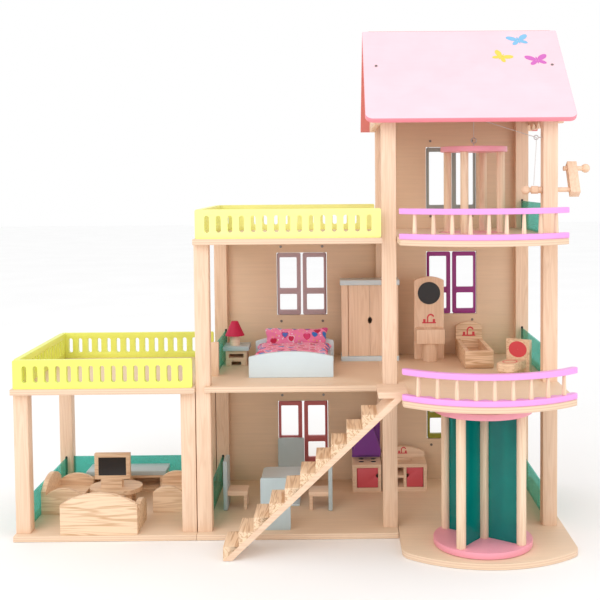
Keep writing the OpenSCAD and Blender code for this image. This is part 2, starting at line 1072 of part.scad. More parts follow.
module winch_axle() {
    color(pine) {
        rod_x(spool_x0 - 10, arm_x0 + arm_w, axle_y, axle_z, axle_d);
        difference() {
            translate([spool_x0 - 9, axle_y, axle_z])
                sphere(d = ball_d);
            rod_x(spool_x0 - 10, spool_x0 + cut_over, axle_y, axle_z, axle_d);
            block(spool_x0 - 2, spool_x0 + ball_d, axle_y - ball_d, axle_y + ball_d, axle_z - ball_d, axle_z + ball_d);
        }
        difference() {
            rod_x(spool_x0, spool_x1, axle_y, axle_z, spool_d);
            rod_x(spool_x0 - cut_over, spool_x1 + cut_over, axle_y, axle_z, axle_d);
        }
        difference() {
            rod_x(spool_x1 + 0.5, tower_in1 - 0.5, axle_y, axle_z, bead_d);
            rod_x(spool_x1, tower_in1, axle_y, axle_z, axle_d);
        }
    }
}

module crank_arm() {
    color(pine)
        translate([arm_x0, axle_y, axle_z])
            rotate([-arm_tilt, 0, 0])
                difference() {
                    translate([0, -arm_w / 2, -(arm_len - arm_reach) / 2])
                        cube([arm_w, arm_w, arm_len]);
                    rod_x(-cut_over, arm_w + cut_over, 0, 0, axle_d);
                    translate([0, 0, arm_reach])
                        rod_x(-cut_over, arm_w + cut_over, 0, 0, axle_d + 2 * run_gap);
                }
}

module crank_handle() {
    color(pine) {
        rod_x(arm_x0 - 6, handle_x1, handle_y, handle_z, axle_d);
        translate([handle_x1 + ball_d / 2 - 1, handle_y, handle_z])
            difference() {
                sphere(d = ball_d);
                rod_x(-ball_d, 1 - ball_d / 2, 0, 0, axle_d);
            }
    }
}

// ---------- revolving door ----------

module door_discs() {
    color(pink)
        translate([door_x, door_y, 0])
            difference() {
                for (z = [door_z0, door_z1 - door_disc_t])
                    translate([0, 0, z])
                        cylinder(r = door_r, h = door_disc_t, $fn = 96);
                rod(0, 0, door_z0 - cut_over, door_z1 + cut_over, pivot_d);
            }
}

// The battens in the corners of the cross, the outer rods and the two pivots
module door_rods() {
    z0 = door_z0 + door_disc_t;
    z1 = door_z1 - door_disc_t;
    color(pine)
        translate([door_x, door_y, 0]) {
            difference() {
                four_rods(door_rod_r, -door_turn, z0, z1, door_rod_d);
                for (i = [0 : 3])
                    rotate([0, 0, 90 * i - door_turn])
                        block(0, door_rod_r - door_rod_d / 2 + 3, -panel_t / 2, panel_t / 2, z0 - cut_over, z1 + cut_over);
            }
            for (i = [0 : 3])
                rotate([0, 0, 90 * i - door_turn])
                    block(panel_t / 2, panel_t / 2 + batten_w, panel_t / 2, panel_t / 2 + batten_w, z0, z1);
            rod(0, 0, floor_1 - pivot_deep + run_gap, door_z0, pivot_d);
            rod(0, 0, door_z0, door_z0 + door_disc_t, pivot_d);
            rod(0, 0, door_z1 - door_disc_t, under_2 + pivot_deep - run_gap, pivot_d);
            difference() {
                rod(0, 0, door_z1, under_2 - 0.5, boss_d);
                rod(0, 0, door_z1 - cut_over, under_2 + cut_over, pivot_d);
            }
        }
}

module door_panels() {
    z0 = door_z0 + door_disc_t;
    z1 = door_z1 - door_disc_t;
    reach = door_rod_r - door_rod_d / 2 + 3;
    color(teal)
        translate([door_x, door_y, z0])
            rotate([0, 0, -door_turn]) {
                translate([-reach, -panel_t / 2, 0])
                    cube([2 * reach, panel_t, z1 - z0]);
                for (s = [0, 1])
                    mirror([0, s, 0])
                        translate([-panel_t / 2, panel_t / 2, 0])
                            cube([panel_t, reach - panel_t / 2, z1 - z0]);
            }
}

// ---------- bed and night table ----------

// A board whose top rises in one arc from its ends to its middle, from its left lower corner
module crest(w, end_h, mid_h) {
    rise = mid_h - end_h - arc_step;
    r = (w * w / 4 + rise * rise) / (2 * rise);
    square([w, end_h]);
    intersection() {
        translate([w / 2, mid_h - r])
            circle(r, $fn = 96);
        translate([0, end_h])
            square([w, 2 * (mid_h - end_h)]);
    }
}

module bed_frame() {
    w = bed_x1 - bed_x0;
    inner = bed_y1 - bed_y0 - 2 * bed_board_t;
    color(cloth_blue) {
        translate([bed_x0, bed_y0, floor_2])
            upright(bed_board_t)
                crest(w, bed_end_h, bed_end_h + 10);
        translate([bed_x0, bed_y1 - bed_board_t, floor_2])
            upright(bed_board_t)
                crest(w, bed_end_h + 3, bed_end_h + 15);
        translate([bed_x0 + 5, bed_y0 + bed_board_t, bed_slat_z])
            cube([w - 10, inner, bed_slat_t]);
    }
}

module bed_blanket() {
    color(cloth_pink)
        block(bed_x0 + 7, bed_x1 - 7, bed_y0 + bed_board_t + 1, bed_y1 - bed_board_t - 24,
            bed_top + seat_gap, bed_top + 18);
}

module bed_pillow() {
    color(cloth_pink)
        block(bed_x0 + 20, bed_x1 - 12, bed_y1 - bed_board_t - 22, bed_y1 - bed_board_t - 1,
            bed_top + seat_gap, bed_top + 44);
}

module night_table() {
    x0 = -138;
    x1 = -99;
    y0 = 50;
    y1 = 98;
    body_h = 27;
    color(pine)
        difference() {
            block(x0, x1, y0, y1, floor_2, floor_2 + body_h);
            translate([(x0 + x1) / 2, y0 - cut_over, floor_2 - cut_over])
                upright(y1 - y0 + 2 * cut_over)
                    translate([-9, 0])
                        round_rect(18, 8, 2);
            block(x0 + 6, x1 - 6, y0 - cut_over, y1 - 6, floor_2 + 13, floor_2 + body_h - 6);
        }
    color(grey)
        block(x0 - 4, x1 + 4, y0 - 4, y1 + 2, floor_2 + body_h, floor_2 + body_h + 7.5);
    translate([-122, 66, floor_2 + body_h + 7.5]) {
        color(pine)
            cylinder(r = 9, h = 18.5);
        color([0.75, 0, 0.25])
            translate([0, 0, 18.5])
                cylinder(r1 = 18, r2 = 6, h = 26.5);
    }
}

// ---------- wardrobe ----------

// The bores for the doors' pegs, or the pegs themselves
module robe_pegs(d, deep) {
    for (s = [-1, 1])
        translate([robe_mid + s * (robe_gap + robe_door_w - robe_door_t / 2), robe_y0 + robe_door_t / 2, 0])
            translate([0, 0, floor_2 + robe_board - deep])
                cylinder(d = d, h = robe_h - 2 * robe_board + 2 * deep, $fn = 24);
}

module wardrobe_body() {
    color(pine) {
        difference() {
            union() {
                block(robe_x0 - 1, robe_x1 + 1, robe_y0 - 1, robe_y1, floor_2, floor_2 + robe_board);
                block(robe_x0 - robe_over, robe_x1 + robe_over, robe_y0 - robe_over, robe_y1,
                    floor_2 + robe_h - robe_board, floor_2 + robe_h);
            }
            robe_pegs(peg_d + 2 * run_gap, peg_deep + door_play);
        }
        for (x = [robe_x0, robe_x1 - robe_side])
            block(x, x + robe_side, robe_y0, robe_y1, floor_2 + robe_board, floor_2 + robe_h - robe_board);
        block(robe_x0 + robe_side, robe_x1 - robe_side, robe_y1 - 4, robe_y1,
            floor_2 + robe_board, floor_2 + robe_h - robe_board);
    }
}

// One wardrobe door, closed, with its half of the finger hole
module robe_door(side) {
    z0 = floor_2 + robe_board + door_play;
    h = robe_h - 2 * (robe_board + door_play);
    r = robe_door_t / 2;
    color(pine)
        translate([robe_mid, robe_y0 + r, z0])
            mirror([side < 0 ? 1 : 0, 0, 0])
                difference() {
                    union() {
                        linear_extrude(h) {
                            translate([robe_gap, -r])
                                square([robe_door_w - r, robe_door_t]);
                            translate([robe_gap + robe_door_w - r, 0])
                                circle(r);
                        }
                        rod(robe_gap + robe_door_w - r, 0, -door_play - peg_deep, h + door_play + peg_deep, peg_d);
                    }
                    translate([0, -robe_door_t, hole_z])
                        upright(2 * robe_door_t)
                            intersection() {
                                translate([-4, 0])
                                    circle(8);
                                translate([4, 0])
                                    circle(8);
                            }
                }
}

module wardrobe_door_left() {
    robe_door(-1);
}

module wardrobe_door_right() {
    robe_door(1);
}

// ---------- kitchen ----------

// A kitchen unit: a box open at the front between x0 and x1
module unit_box(x0, x1, y0, y1, top) {
    difference() {
        block(x0, x1, y0, y1, floor_1, top);
        block(x0 + unit_t + 2, x1 - unit_t, y0 - cut_over, y1 - unit_t, floor_1 + unit_t + 2, top - unit_t);
    }
}

// A unit door on its pivot at the origin, with pegs above and below
module unit_door(reach, h) {
    r = unit_door_t / 2;
    difference() {
        union() {
            linear_extrude(h) {
                translate([0, -r])
                    square([reach, unit_door_t]);
                circle(r);
            }
            rod(0, 0, -door_play - peg_deep, h + door_play + peg_deep, peg_d);
        }
        translate([reach, -unit_door_t, h * 0.6])
            upright(2 * unit_door_t)
                circle(4);
    }
}

// The bores for one unit door's pegs
module unit_bores(x, y0) {
    rod(x, y0 + unit_door_t / 2, unit_door_z - 1 - peg_deep, unit_door_z + unit_door_h + 1 + peg_deep, peg_d + 2 * run_gap);
}

module cooker_door() {
    color(red)
        translate([cooker_pivot_x, cooker_y0 + unit_door_t / 2, unit_door_z])
            unit_door(cooker_reach, unit_door_h);
}

module sink_door() {
    color(red)
        translate([sink_pivot_x, sink_y0 + unit_door_t / 2, unit_door_z])
            mirror([1, 0, 0])
                unit_door(sink_reach, unit_door_h);
}

module kitchen_units() {
    color(pine) {
        difference() {
            unit_box(cooker_x0, cooker_x1, cooker_y0, cooker_y1, unit_top);
            unit_bores(cooker_pivot_x, cooker_y0);
        }
        block(cooker_x0, cooker_x1, cooker_y1 - 6, cooker_y1, unit_top, unit_top + 72);
        difference() {
            unit_box(sink_x0, sink_x1, sink_y0, sink_y1, unit_top);
            rod(sink_x0 + 42, sink_y0 + 30, unit_top - 4, unit_top + cut_over, bowl_d);
            unit_bores(sink_pivot_x, sink_y0);
        }
        block(sink_split, sink_split + sink_split_t, sink_y0, sink_y1 - unit_t, floor_1 + unit_floor, unit_top - unit_t);
        block(sink_x0 + unit_floor, sink_split, sink_y0, sink_y1 - unit_t, floor_1 + 26, floor_1 + 30);
        translate([sink_x0, sink_y1 - 6, unit_top])
            upright(6)
                crest(sink_x1 - sink_x0, 8, 20);
    }
    color([0.15, 0.15, 0.15])
        for (x = [cooker_x0 + 17, cooker_x0 + 40], y = [cooker_y0 + 19, cooker_y0 + 38])
            rod(x, y, unit_top, unit_top + 1, plate_d);
    color(purple)
        translate([cooker_x0 + 3, cooker_y1 - 6 - hood_d, unit_top + 12]) {
            cube([cooker_x1 - cooker_x0 - 3, hood_d, 9]);
            upright_hood();
        }
}

// The hood's tapered upper part
module upright_hood() {
    translate([0, 0, 9])
        upright(hood_d)
            polygon([[0, 0], [51, 0], [36, 45], [15, 45]]);
}

// ---------- bathroom ----------

// The washbasin: a tall back board with a mirror, a basin block and a half-round pedestal
module washbasin() {
    color(pine) {
        translate([-28, basin_y1, 0])
            upright(ply_t)
                crest(56, 148, 156);
        difference() {
            block(-basin_half, basin_half, basin_y0, basin_y1, basin_low, basin_top);
            translate([0, (basin_y0 + basin_y1) / 2, basin_top])
                sphere(r = 13);
        }
        block(-pedestal_r, pedestal_r, basin_y0 + pedestal_r + 4, basin_y1, 0, basin_low);
        intersection() {
            rod(0, basin_y0 + pedestal_r + 4, 0, basin_low, 2 * pedestal_r);
            block(-pedestal_r, pedestal_r, basin_y0, basin_y0 + pedestal_r + 4, 0, basin_low);
        }
    }
    color([0.1, 0.1, 0.1])
        translate([0, basin_y1, 125])
            rotate([90, 0, 0])
                cylinder(r = mirror_r, h = 1.5);
}

// The bath: a hollow block with a sloped foot end and an arched head board
module bath() {
    w = bath_x1 - bath_x0;
    color(pine) {
        difference() {
            translate([bath_x0, 0, 0])
                sideways(w)
                    polygon([
                        [bath_y0 + 6, 0],
                        [bath_y1, 0],
                        [bath_y1, bath_h],
                        [bath_y0, bath_h],
                        [bath_y0, 6]
                    ]);
            block(bath_x0 + bath_wall, bath_x1 - bath_wall, bath_y0 + 9, bath_y1 - 9, 10, bath_h + cut_over);
        }
        translate([bath_x0, bath_y1, 0])
            upright(bath_wall)
                crest(w, 55, 64);
    }
}

// The toilet, facing -Y: a seat block with cut corners on a narrower foot, and a tank
module toilet() {
    color(pine) {
        block(-11, 11, -16, 33, 0, 12);
        translate([0, 0, 12])
            linear_extrude(14)
                polygon([[-16, 33], [-16, -16], [-8, -26], [8, -26], [16, -16], [16, 33]]);
        block(-22, 22, 33, 43, 0, 60);
    }
}

module bathroom_set() {
    translate([basin_x, 0, floor_2])
        washbasin();
    translate([0, 0, floor_2])
        bath();
    translate([362, -86, floor_2])
        rotate([0, 0, toilet_turn])
            toilet();
}

// ---------- dining and living rooms ----------

// A chair facing +X: a painted back panel, a seat and two front legs
module chair() {
    color(cloth_blue)
        translate([-19, -25, 0])
            sideways(7)
                round_rect(50, chair_back_h, 3);
    color(pine) {
        block(-12, 23, -19, 19, chair_seat_z, chair_seat_z + chair_seat_t);
        block(16, 22, -18, -10, 0, chair_seat_z);
        block(16, 22, 10, 18, 0, chair_seat_z);
        block(16, 20, -10, 10, 12, 18);
    }
}

module dining_set() {
    translate([-117, -10, floor_1])
        chair();
    translate([-37.5, -120, floor_1])
        rotate([0, 0, 90])
            chair();
    translate([38, -18, floor_1])
        rotate([0, 0, 180])
            chair();
    translate([-23, 115, floor_1])
        rotate([0, 0, -90])
            chair();
    color(cloth_blue) {
        translate([-70, -25, floor_1 + table_z])
            linear_extrude(table_t)
                round_rect(84, 78, 12);
        block(-36, -20, 6, 22, floor_1 + 4, floor_1 + table_z);
        block(-54, -2, -12, 40, floor_1, floor_1 + 4);
    }
}

// A seat with a shaped back and two arms, facing +Y
module settee(w, d, back_h) {
    upright(seat_t)
        crest(w, back_h - 20, back_h);
    for (x = [0, w - seat_t])
        translate([x, seat_t, 0])
            sideways(seat_t)
                crest(d - seat_t, 34, 46);
    block(seat_t, w - seat_t, seat_t, d - 2, 14, 26);
}

module living_set() {
    color(pine) {
        translate([-393, -156, floor_1])
            settee(128, 84, 70);
        translate([-455, 56, floor_1])
            rotate([0, 0, -90])
                settee(104, 70, 60);
        translate([-198, -40, floor_1])
            rotate([0, 0, 90])
                settee(104, 62, 60);
        translate([-384, -16, floor_1 + low_table_z])
            linear_extrude(low_table_t)
                round_rect(94, 72, 34);
        for (x = [-372, -316], y = [-1, 37])
            block(x, x + 10, y, y + 10, floor_1, floor_1 + low_table_z);
        block(-362, -324, 8, 26, floor_1 + low_table_z + low_table_t, floor_1 + 45);
        difference() {
            block(-374, -310, 12, 22, floor_1 + 45, floor_1 + 92);
            block(-367, screen_w - 367, 12 - cut_over, 14, floor_1 + 52, floor_1 + 52 + screen_h);
        }
        difference() {
            block(-404, -259, 82, 132, floor_1, floor_1 + bench_h);
            block(-319, -268, 80, 126, floor_1 + 7, floor_1 + 27);
            block(-396, -327, 80, 126, floor_1 + 7, floor_1 + 27);
        }
    }
    color([0.1, 0.1, 0.1])
        block(-367, screen_w - 367, 12.5, 14, floor_1 + 52, floor_1 + 52 + screen_h);
    color(grey)
        block(-406, -257, 80, 133, floor_1 + bench_h, floor_1 + bench_h + bench_t);
}

wing_base();
wing_posts();
wing_roof();
house_base();
house_posts();
house_floor();
house_roof();
tower_base();
tower_posts();
tower_floor_2();
tower_floor_3();
terrace_railings();
house_walls();
tower_walls();
roof_front();
roof_back();
gable_trims();
lift_beam();
acrylic_panels();
screws();
hinge_pins();
house_lower_left();
house_lower_right();
house_upper_left();
house_upper_right();
tower_lower_left();
tower_lower_right();
tower_middle_left();
tower_middle_right();
tower_upper_left();
tower_upper_right();
balcony_rails();
balusters();
stair_board();
stair_steps();
lift_discs();
lift_rods();
lift_eye();
string_eyes();
lift_string();
winch_string();
winch_axle();
crank_arm();
crank_handle();
door_discs();
door_rods();
door_panels();
bed_frame();
bed_pillow();
bed_blanket();
night_table();
wardrobe_body();
wardrobe_door_left();
wardrobe_door_right();
kitchen_units();
cooker_door();
sink_door();
bathroom_set();
dining_set();
living_set();
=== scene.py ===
# %% [markdown]
# # A wooden dollhouse
# The real toy is a kit of plywood plates, square pine posts, painted rails, clear panels and small
# wooden furniture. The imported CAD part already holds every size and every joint, so this lesson
# starts from it and gives each piece its softened edges, its wood grain and its paint.

# %% Load the frame
import json
import math

import bmesh
import bpy
from mathutils import Matrix, Vector, noise


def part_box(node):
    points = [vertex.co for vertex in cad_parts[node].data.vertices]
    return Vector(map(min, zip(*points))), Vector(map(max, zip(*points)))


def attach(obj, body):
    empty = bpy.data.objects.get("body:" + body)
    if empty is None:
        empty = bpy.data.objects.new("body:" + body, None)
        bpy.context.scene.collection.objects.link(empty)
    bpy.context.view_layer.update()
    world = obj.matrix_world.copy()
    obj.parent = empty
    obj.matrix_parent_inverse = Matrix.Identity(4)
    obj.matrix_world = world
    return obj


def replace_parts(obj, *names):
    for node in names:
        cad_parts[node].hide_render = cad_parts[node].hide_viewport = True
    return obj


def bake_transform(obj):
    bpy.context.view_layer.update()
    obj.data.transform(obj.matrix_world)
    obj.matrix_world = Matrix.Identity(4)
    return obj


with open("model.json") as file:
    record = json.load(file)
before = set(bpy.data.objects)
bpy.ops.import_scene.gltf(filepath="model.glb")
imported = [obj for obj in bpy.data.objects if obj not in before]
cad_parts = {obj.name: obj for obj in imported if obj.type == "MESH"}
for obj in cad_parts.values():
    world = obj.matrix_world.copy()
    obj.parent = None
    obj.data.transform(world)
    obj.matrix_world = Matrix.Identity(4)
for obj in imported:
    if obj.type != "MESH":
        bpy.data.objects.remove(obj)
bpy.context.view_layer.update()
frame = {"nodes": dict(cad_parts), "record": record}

# %% [markdown]
# ## Modules
# The lesson uses bmesh to build and bevel meshes.

# %% [markdown]
# ## Lengths
# The toy is measured in millimetres and the scene is in metres. One factor turns one into the
# other, so the numbers below read like those on a drawing.

# %% Millimetres
MM = 0.001


def mm(*values):
    """A point given in millimetres, as a vector in metres."""
    return Vector(values) * MM


print("one floor plate is", 9.5 * MM, "m thick")

# %% [markdown]
# ## Shader maths
# A pattern is arithmetic on coordinates. A small class wraps a socket, so that such arithmetic can
# be written as a Python expression, and each operator adds the Math node that does it.

# %% A socket with arithmetic
class Sock:
    """A node's output socket that can be added, multiplied and compared."""

    def __init__(self, net, socket):
        self.net = net
        self.socket = socket

    def _math(self, operation, a, b):
        return self.net.add("ShaderNodeMath", {0: a, 1: b}, operation=operation)

    def __add__(self, other):
        return self._math("ADD", self, other)

    __radd__ = __add__

    def __sub__(self, other):
        return self._math("SUBTRACT", self, other)

    def __mul__(self, other):
        return self._math("MULTIPLY", self, other)

    __rmul__ = __mul__

    def __truediv__(self, other):
        return self._math("DIVIDE", self, other)

    def __lt__(self, other):
        return self._math("LESS_THAN", self, other)


# %% [markdown]
# ## Materials as code
# A second small class holds one material. Each call adds one node, so a material reads from top to
# bottom like the recipe it is.

# %% A material under construction
class Net:
    """A material whose nodes are added one call at a time."""

    def __init__(self, name):
        self.material = bpy.data.materials.new(name)
        self.material.use_nodes = True
        self.tree = self.material.node_tree
        self.tree.nodes.clear()

    def add(self, kind, inputs=None, output=0, stops=None, **settings):
        """Adds a node: settings first, then ramp stops, then values or links."""
        node = self.tree.nodes.new(kind)
        for key, value in settings.items():
            setattr(node, key, value)
        if stops:
            ramp = node.color_ramp.elements
            while len(ramp) < len(stops):
                ramp.new(0.5)
            for element, (place, colour) in zip(ramp, stops):
                element.position = place
                element.color = (*colour, 1)
        for key, value in (inputs or {}).items():
            if isinstance(value, Sock):
                self.tree.links.new(value.socket, node.inputs[key])
            else:
                node.inputs[key].default_value = value
        return Sock(self, node.outputs[output])

    def place(self):
        """The piece's own coordinates, in metres."""
        return self.add("ShaderNodeTexCoord", output="Object")

    def facing(self):
        """The direction the surface faces, in the piece's own axes."""
        return self.add("ShaderNodeTexCoord", output="Normal")

    def axes(self, vector):
        """The X, Y and Z of a vector as three numbers."""
        node = self.add("ShaderNodeSeparateXYZ", {0: vector}).socket.node
        return [Sock(self, out) for out in node.outputs]

    def absolute(self, value):
        return self.add("ShaderNodeMath", {0: value}, operation="ABSOLUTE")

    def sine(self, value):
        return self.add("ShaderNodeMath", {0: value}, operation="SINE")

    def stretched(self, scale, shift=(0, 0, 0)):
        """The piece's coordinates, stretched."""
        return self.add("ShaderNodeMapping", {"Vector": self.place(), "Scale": scale, "Location": shift})

    def noise(self, vector, scale=1.0, detail=3.0, rough=0.5, distort=0.0):
        return self.add("ShaderNodeTexNoise", {"Vector": vector, "Scale": scale, "Detail": detail,
                                               "Roughness": rough, "Distortion": distort})

    def ramp(self, value, *stops):
        return self.add("ShaderNodeValToRGB", {0: value}, stops=stops)

    def mix(self, factor, a, b, blend="MIX"):
        """Two colours mixed."""
        node = self.tree.nodes.new("ShaderNodeMix")
        node.data_type = "RGBA"
        node.blend_type = blend
        for key, value in ((0, factor), (6, a), (7, b)):
            if isinstance(value, Sock):
                self.tree.links.new(value.socket, node.inputs[key])
            elif key == 0:
                node.inputs[key].default_value = value
            else:
                node.inputs[key].default_value = (*value, 1)
        return Sock(self, node.outputs[2])

    def bump(self, height, strength, distance):
        return self.add("ShaderNodeBump", {"Height": height, "Strength": strength, "Distance": distance},
                        output="Normal")

    def surface(self, shader):
        out = self.tree.nodes.new("ShaderNodeOutputMaterial")
        self.tree.links.new(shader.socket, out.inputs["Surface"])
        return self.material


print("shader helpers are ready")

# %% [markdown]
# ## Pine
# The posts, steps, rods and most of the furniture are bare pine. Pine shows pale early wood and
# darker late wood in lines along the grain, so noise is squeezed across the grain and drawn out
# along it. A second, slower noise makes one board warmer than the next.

# %% Pine along any axis
GRAIN_AXIS = {"X": 0, "Y": 1, "Z": 2}


def pine(name, along, pale=(0.90, 0.67, 0.50), dark=(0.83, 0.59, 0.42), lines=330, contrast=0.8):
    net = Net(name)
    axis = GRAIN_AXIS[along]
    fine_scale = [lines] * 3
    fine_scale[axis] = 9
    wide_scale = [70] * 3
    wide_scale[axis] = 4
    fine = net.noise(net.stretched(fine_scale, (3, 5, 7)), detail=4, rough=0.6, distort=0.3)
    wide = net.noise(net.stretched(wide_scale, (1, 2, 3)), detail=2, distort=0.6)
    rings = net.sine(wide * 46) * 0.5 + 0.5
    grain = fine * 0.65 + rings * 0.35
    slow = net.noise(net.stretched((9, 9, 9)), detail=1)
    palest = [min(1, c * 1.08) for c in pale]
    colour = net.ramp(grain, (0.25, dark), (0.25 + 0.45 * contrast, pale), (1.0, palest))
    warm = net.mix(slow, colour, (0.95, 0.82, 0.70), "MULTIPLY")
    toned = net.mix(0.35, colour, warm)
    bsdf = net.add("ShaderNodeBsdfPrincipled", {
        "Base Color": toned,
        "Roughness": grain * 0.2 + 0.42,
        "Specular IOR Level": 0.35,
        "Normal": net.bump(grain, 0.15, 0.0002),
    })
    return net.surface(bsdf)


PINE_UP = pine("pine_upright", "Z")
PINE_ACROSS = pine("pine_crosswise", "X")
PINE_DEEP = pine("pine_depthwise", "Y")
PINE_STEP = pine("pine_step", "Y", pale=(0.88, 0.66, 0.46), dark=(0.60, 0.36, 0.20), lines=200,
                 contrast=0.7)
PINE_BOLD = pine("pine_bold", "X", pale=(0.88, 0.65, 0.45), dark=(0.62, 0.38, 0.21), lines=150,
                 contrast=0.7)
PINE_SOFT = pine("pine_soft", "X", pale=(0.88, 0.66, 0.46), dark=(0.71, 0.47, 0.29), lines=180,
                 contrast=0.7)
PINE_DOWEL = pine("pine_dowel", "Z", pale=(0.90, 0.71, 0.53), dark=(0.80, 0.59, 0.42))
print("pine finishes:", 7)

# %% [markdown]
# ## Plywood
# The plates and walls are birch plywood: a quiet pale face, and an edge that shows the plies as
# light and dark stripes. The surface's own direction tells the face from the edge.

# %% Plywood, by the axis of its thickness
def plywood(name, thin, along, face=(0.84, 0.63, 0.45), edge_dark=(0.76, 0.53, 0.38)):
    net = Net(name)
    t = GRAIN_AXIS[thin]
    scale = [260] * 3
    scale[GRAIN_AXIS[along]] = 10
    grain = net.noise(net.stretched(scale, (2, 4, 6)), detail=4, rough=0.55, distort=0.2)
    cloudy = net.noise(net.stretched((14, 14, 14)), detail=2)
    pale = [min(1, c * 1.03) for c in face]
    deep = [c * 0.93 for c in face]
    veneer = net.ramp(grain * 0.7 + cloudy * 0.3, (0.3, deep), (0.7, pale))
    depth = net.axes(net.place())[t]
    stripe = net.sine(depth * (2 * math.pi / 0.0038)) * 0.5 + 0.5
    plies = net.ramp(stripe * 0.8 + grain * 0.2, (0.2, edge_dark), (0.6, face), (1.0, pale))
    is_edge = net.absolute(net.axes(net.facing())[t]) < 0.6
    bsdf = net.add("ShaderNodeBsdfPrincipled", {
        "Base Color": net.mix(is_edge, veneer, plies),
        "Roughness": grain * 0.15 + 0.45,
        "Specular IOR Level": 0.35,
        "Normal": net.bump(grain, 0.15, 0.00015),
    })
    return net.surface(bsdf)


PLY_FLOOR = plywood("plywood_floor", "Z", "X")
PLY_WALL = plywood("plywood_wall", "Y", "X", face=(0.82, 0.60, 0.42))
print("plywood finishes:", 2)

# %% [markdown]
# ## Paint
# The painted pieces are sprayed and satin. Thin paint on wood keeps a trace of the grain below, and
# it gathers a little unevenly, so its colour drifts by a few per cent.

# %% Satin paint
def paint(name, colour, along="X", rough=0.38, show_grain=0.12):
    net = Net(name)
    scale = [230] * 3
    scale[GRAIN_AXIS[along]] = 12
    grain = net.noise(net.stretched(scale), detail=3, distort=0.2)
    drift = net.noise(net.stretched((22, 22, 22)), detail=2)
    lighter = [min(1, c * 1.02 + 0.003) for c in colour]
    darker = [c * 0.96 for c in colour]
    bsdf = net.add("ShaderNodeBsdfPrincipled", {
        "Base Color": net.ramp(drift * 0.75 + grain * 0.25, (0.3, darker), (0.7, lighter)),
        "Roughness": drift * 0.12 + rough - 0.06,
        "Normal": net.bump(grain, show_grain, 0.00012),
    })
    return net.surface(bsdf)


PAINT = {
    "roof_pink": paint("paint_roof_pink", (0.96, 0.64, 0.71)),
    "roof_edge": paint("paint_roof_edge", (0.95, 0.30, 0.37)),
    "salmon": paint("paint_salmon", (0.80, 0.24, 0.23)),
    "lime": paint("paint_lime", (0.93, 0.94, 0.32)),
    "lime_deep": paint("paint_lime_deep", (0.85, 0.88, 0.17)),
    "violet": paint("paint_violet", (0.91, 0.38, 0.83)),
    "pink": paint("paint_pink", (0.90, 0.36, 0.45)),
    "red": paint("paint_red", (0.56, 0.13, 0.13)),
    "mauve": paint("paint_mauve", (0.52, 0.37, 0.40)),
    "purple": paint("paint_purple", (0.33, 0.03, 0.24)),
    "olive": paint("paint_olive", (0.30, 0.30, 0.03)),
    "grey": paint("paint_grey", (0.33, 0.36, 0.34)),
    "blue": paint("paint_pale_blue", (0.66, 0.76, 0.80)),
    "blue_grey": paint("paint_blue_grey", (0.50, 0.60, 0.62), along="Z"),
    "door_red": paint("paint_door_red", (0.72, 0.10, 0.13)),
    "hood": paint("paint_hood_purple", (0.20, 0.03, 0.30)),
    "shade": paint("lamp_crimson", (0.52, 0.00, 0.05), rough=0.6),
    "black": paint("paint_black", (0.02, 0.02, 0.022)),
    "print": paint("printed_red", (0.72, 0.06, 0.08)),
    "wing_blue": paint("paint_butterfly_blue", (0.22, 0.52, 0.78)),
    "wing_yellow": paint("paint_butterfly_yellow", (0.94, 0.66, 0.08)),
    "wing_violet": paint("paint_butterfly_violet", (0.66, 0.14, 0.52)),
}
print("paints:", len(PAINT))

# %% [markdown]
# ## Clear panels, metal and string
# The low side panels and the revolving door are teal acrylic sheet. Part of the light goes straight
# through, tinted, and the polished surface reflects the rest.

# %% Acrylic, zinc and string
def acrylic(name, tint, body, through):
    net = Net(name)
    haze = net.noise(net.stretched((30, 30, 30)), detail=2)
    clear = net.add("ShaderNodeBsdfTransparent", {"Color": (*tint, 1)})
    gloss = net.add("ShaderNodeBsdfPrincipled", {
        "Base Color": net.ramp(haze, (0.3, [c * 0.85 for c in body]), (0.7, body)),
        "Roughness": haze * 0.06 + 0.08,
    })
    return net.surface(net.add("ShaderNodeMixShader", {0: 1 - through, 1: clear, 2: gloss}))


def zinc(name, low, high):
    net = Net(name)
    brushed = net.noise(net.stretched((900, 900, 120)), detail=2)
    bsdf = net.add("ShaderNodeBsdfPrincipled", {
        "Base Color": net.ramp(brushed, (0.3, low), (0.7, high)),
        "Metallic": 1.0,
        "Roughness": brushed * 0.15 + 0.22,
    })
    return net.surface(bsdf)


def twisted_string():
    net = Net("white_string")
    x, y, z = net.axes(net.place())
    twist = net.sine((x + y + z) * 4200) * 0.5 + 0.5
    bsdf = net.add("ShaderNodeBsdfPrincipled", {
        "Base Color": net.ramp(twist, (0.0, (0.62, 0.62, 0.60)), (1.0, (0.90, 0.90, 0.88))),
        "Roughness": 0.9,
        "Normal": net.bump(twist, 0.5, 0.0002),
    })
    return net.surface(bsdf)


ACRYLIC = acrylic("teal_acrylic", (0.46, 0.92, 0.84), (0.07, 0.50, 0.44), 0.55)
ACRYLIC_DOOR = acrylic("teal_acrylic_door", (0.15, 0.62, 0.58), (0.00, 0.27, 0.24), 0.42)
ZINC = zinc("bright_zinc", (0.55, 0.55, 0.57), (0.72, 0.72, 0.74))
SCREW = zinc("screw_zinc", (0.16, 0.14, 0.13), (0.34, 0.31, 0.28))
STRING = twisted_string()
print("acrylic, zinc and string are ready")

# %% [markdown]
# ## Softened edges
# Every board of the toy is sanded, so no edge is sharp. The CAD solid of a piece is copied, its
# loose triangles are merged into flat faces, and its sharp edges get a small bevel.

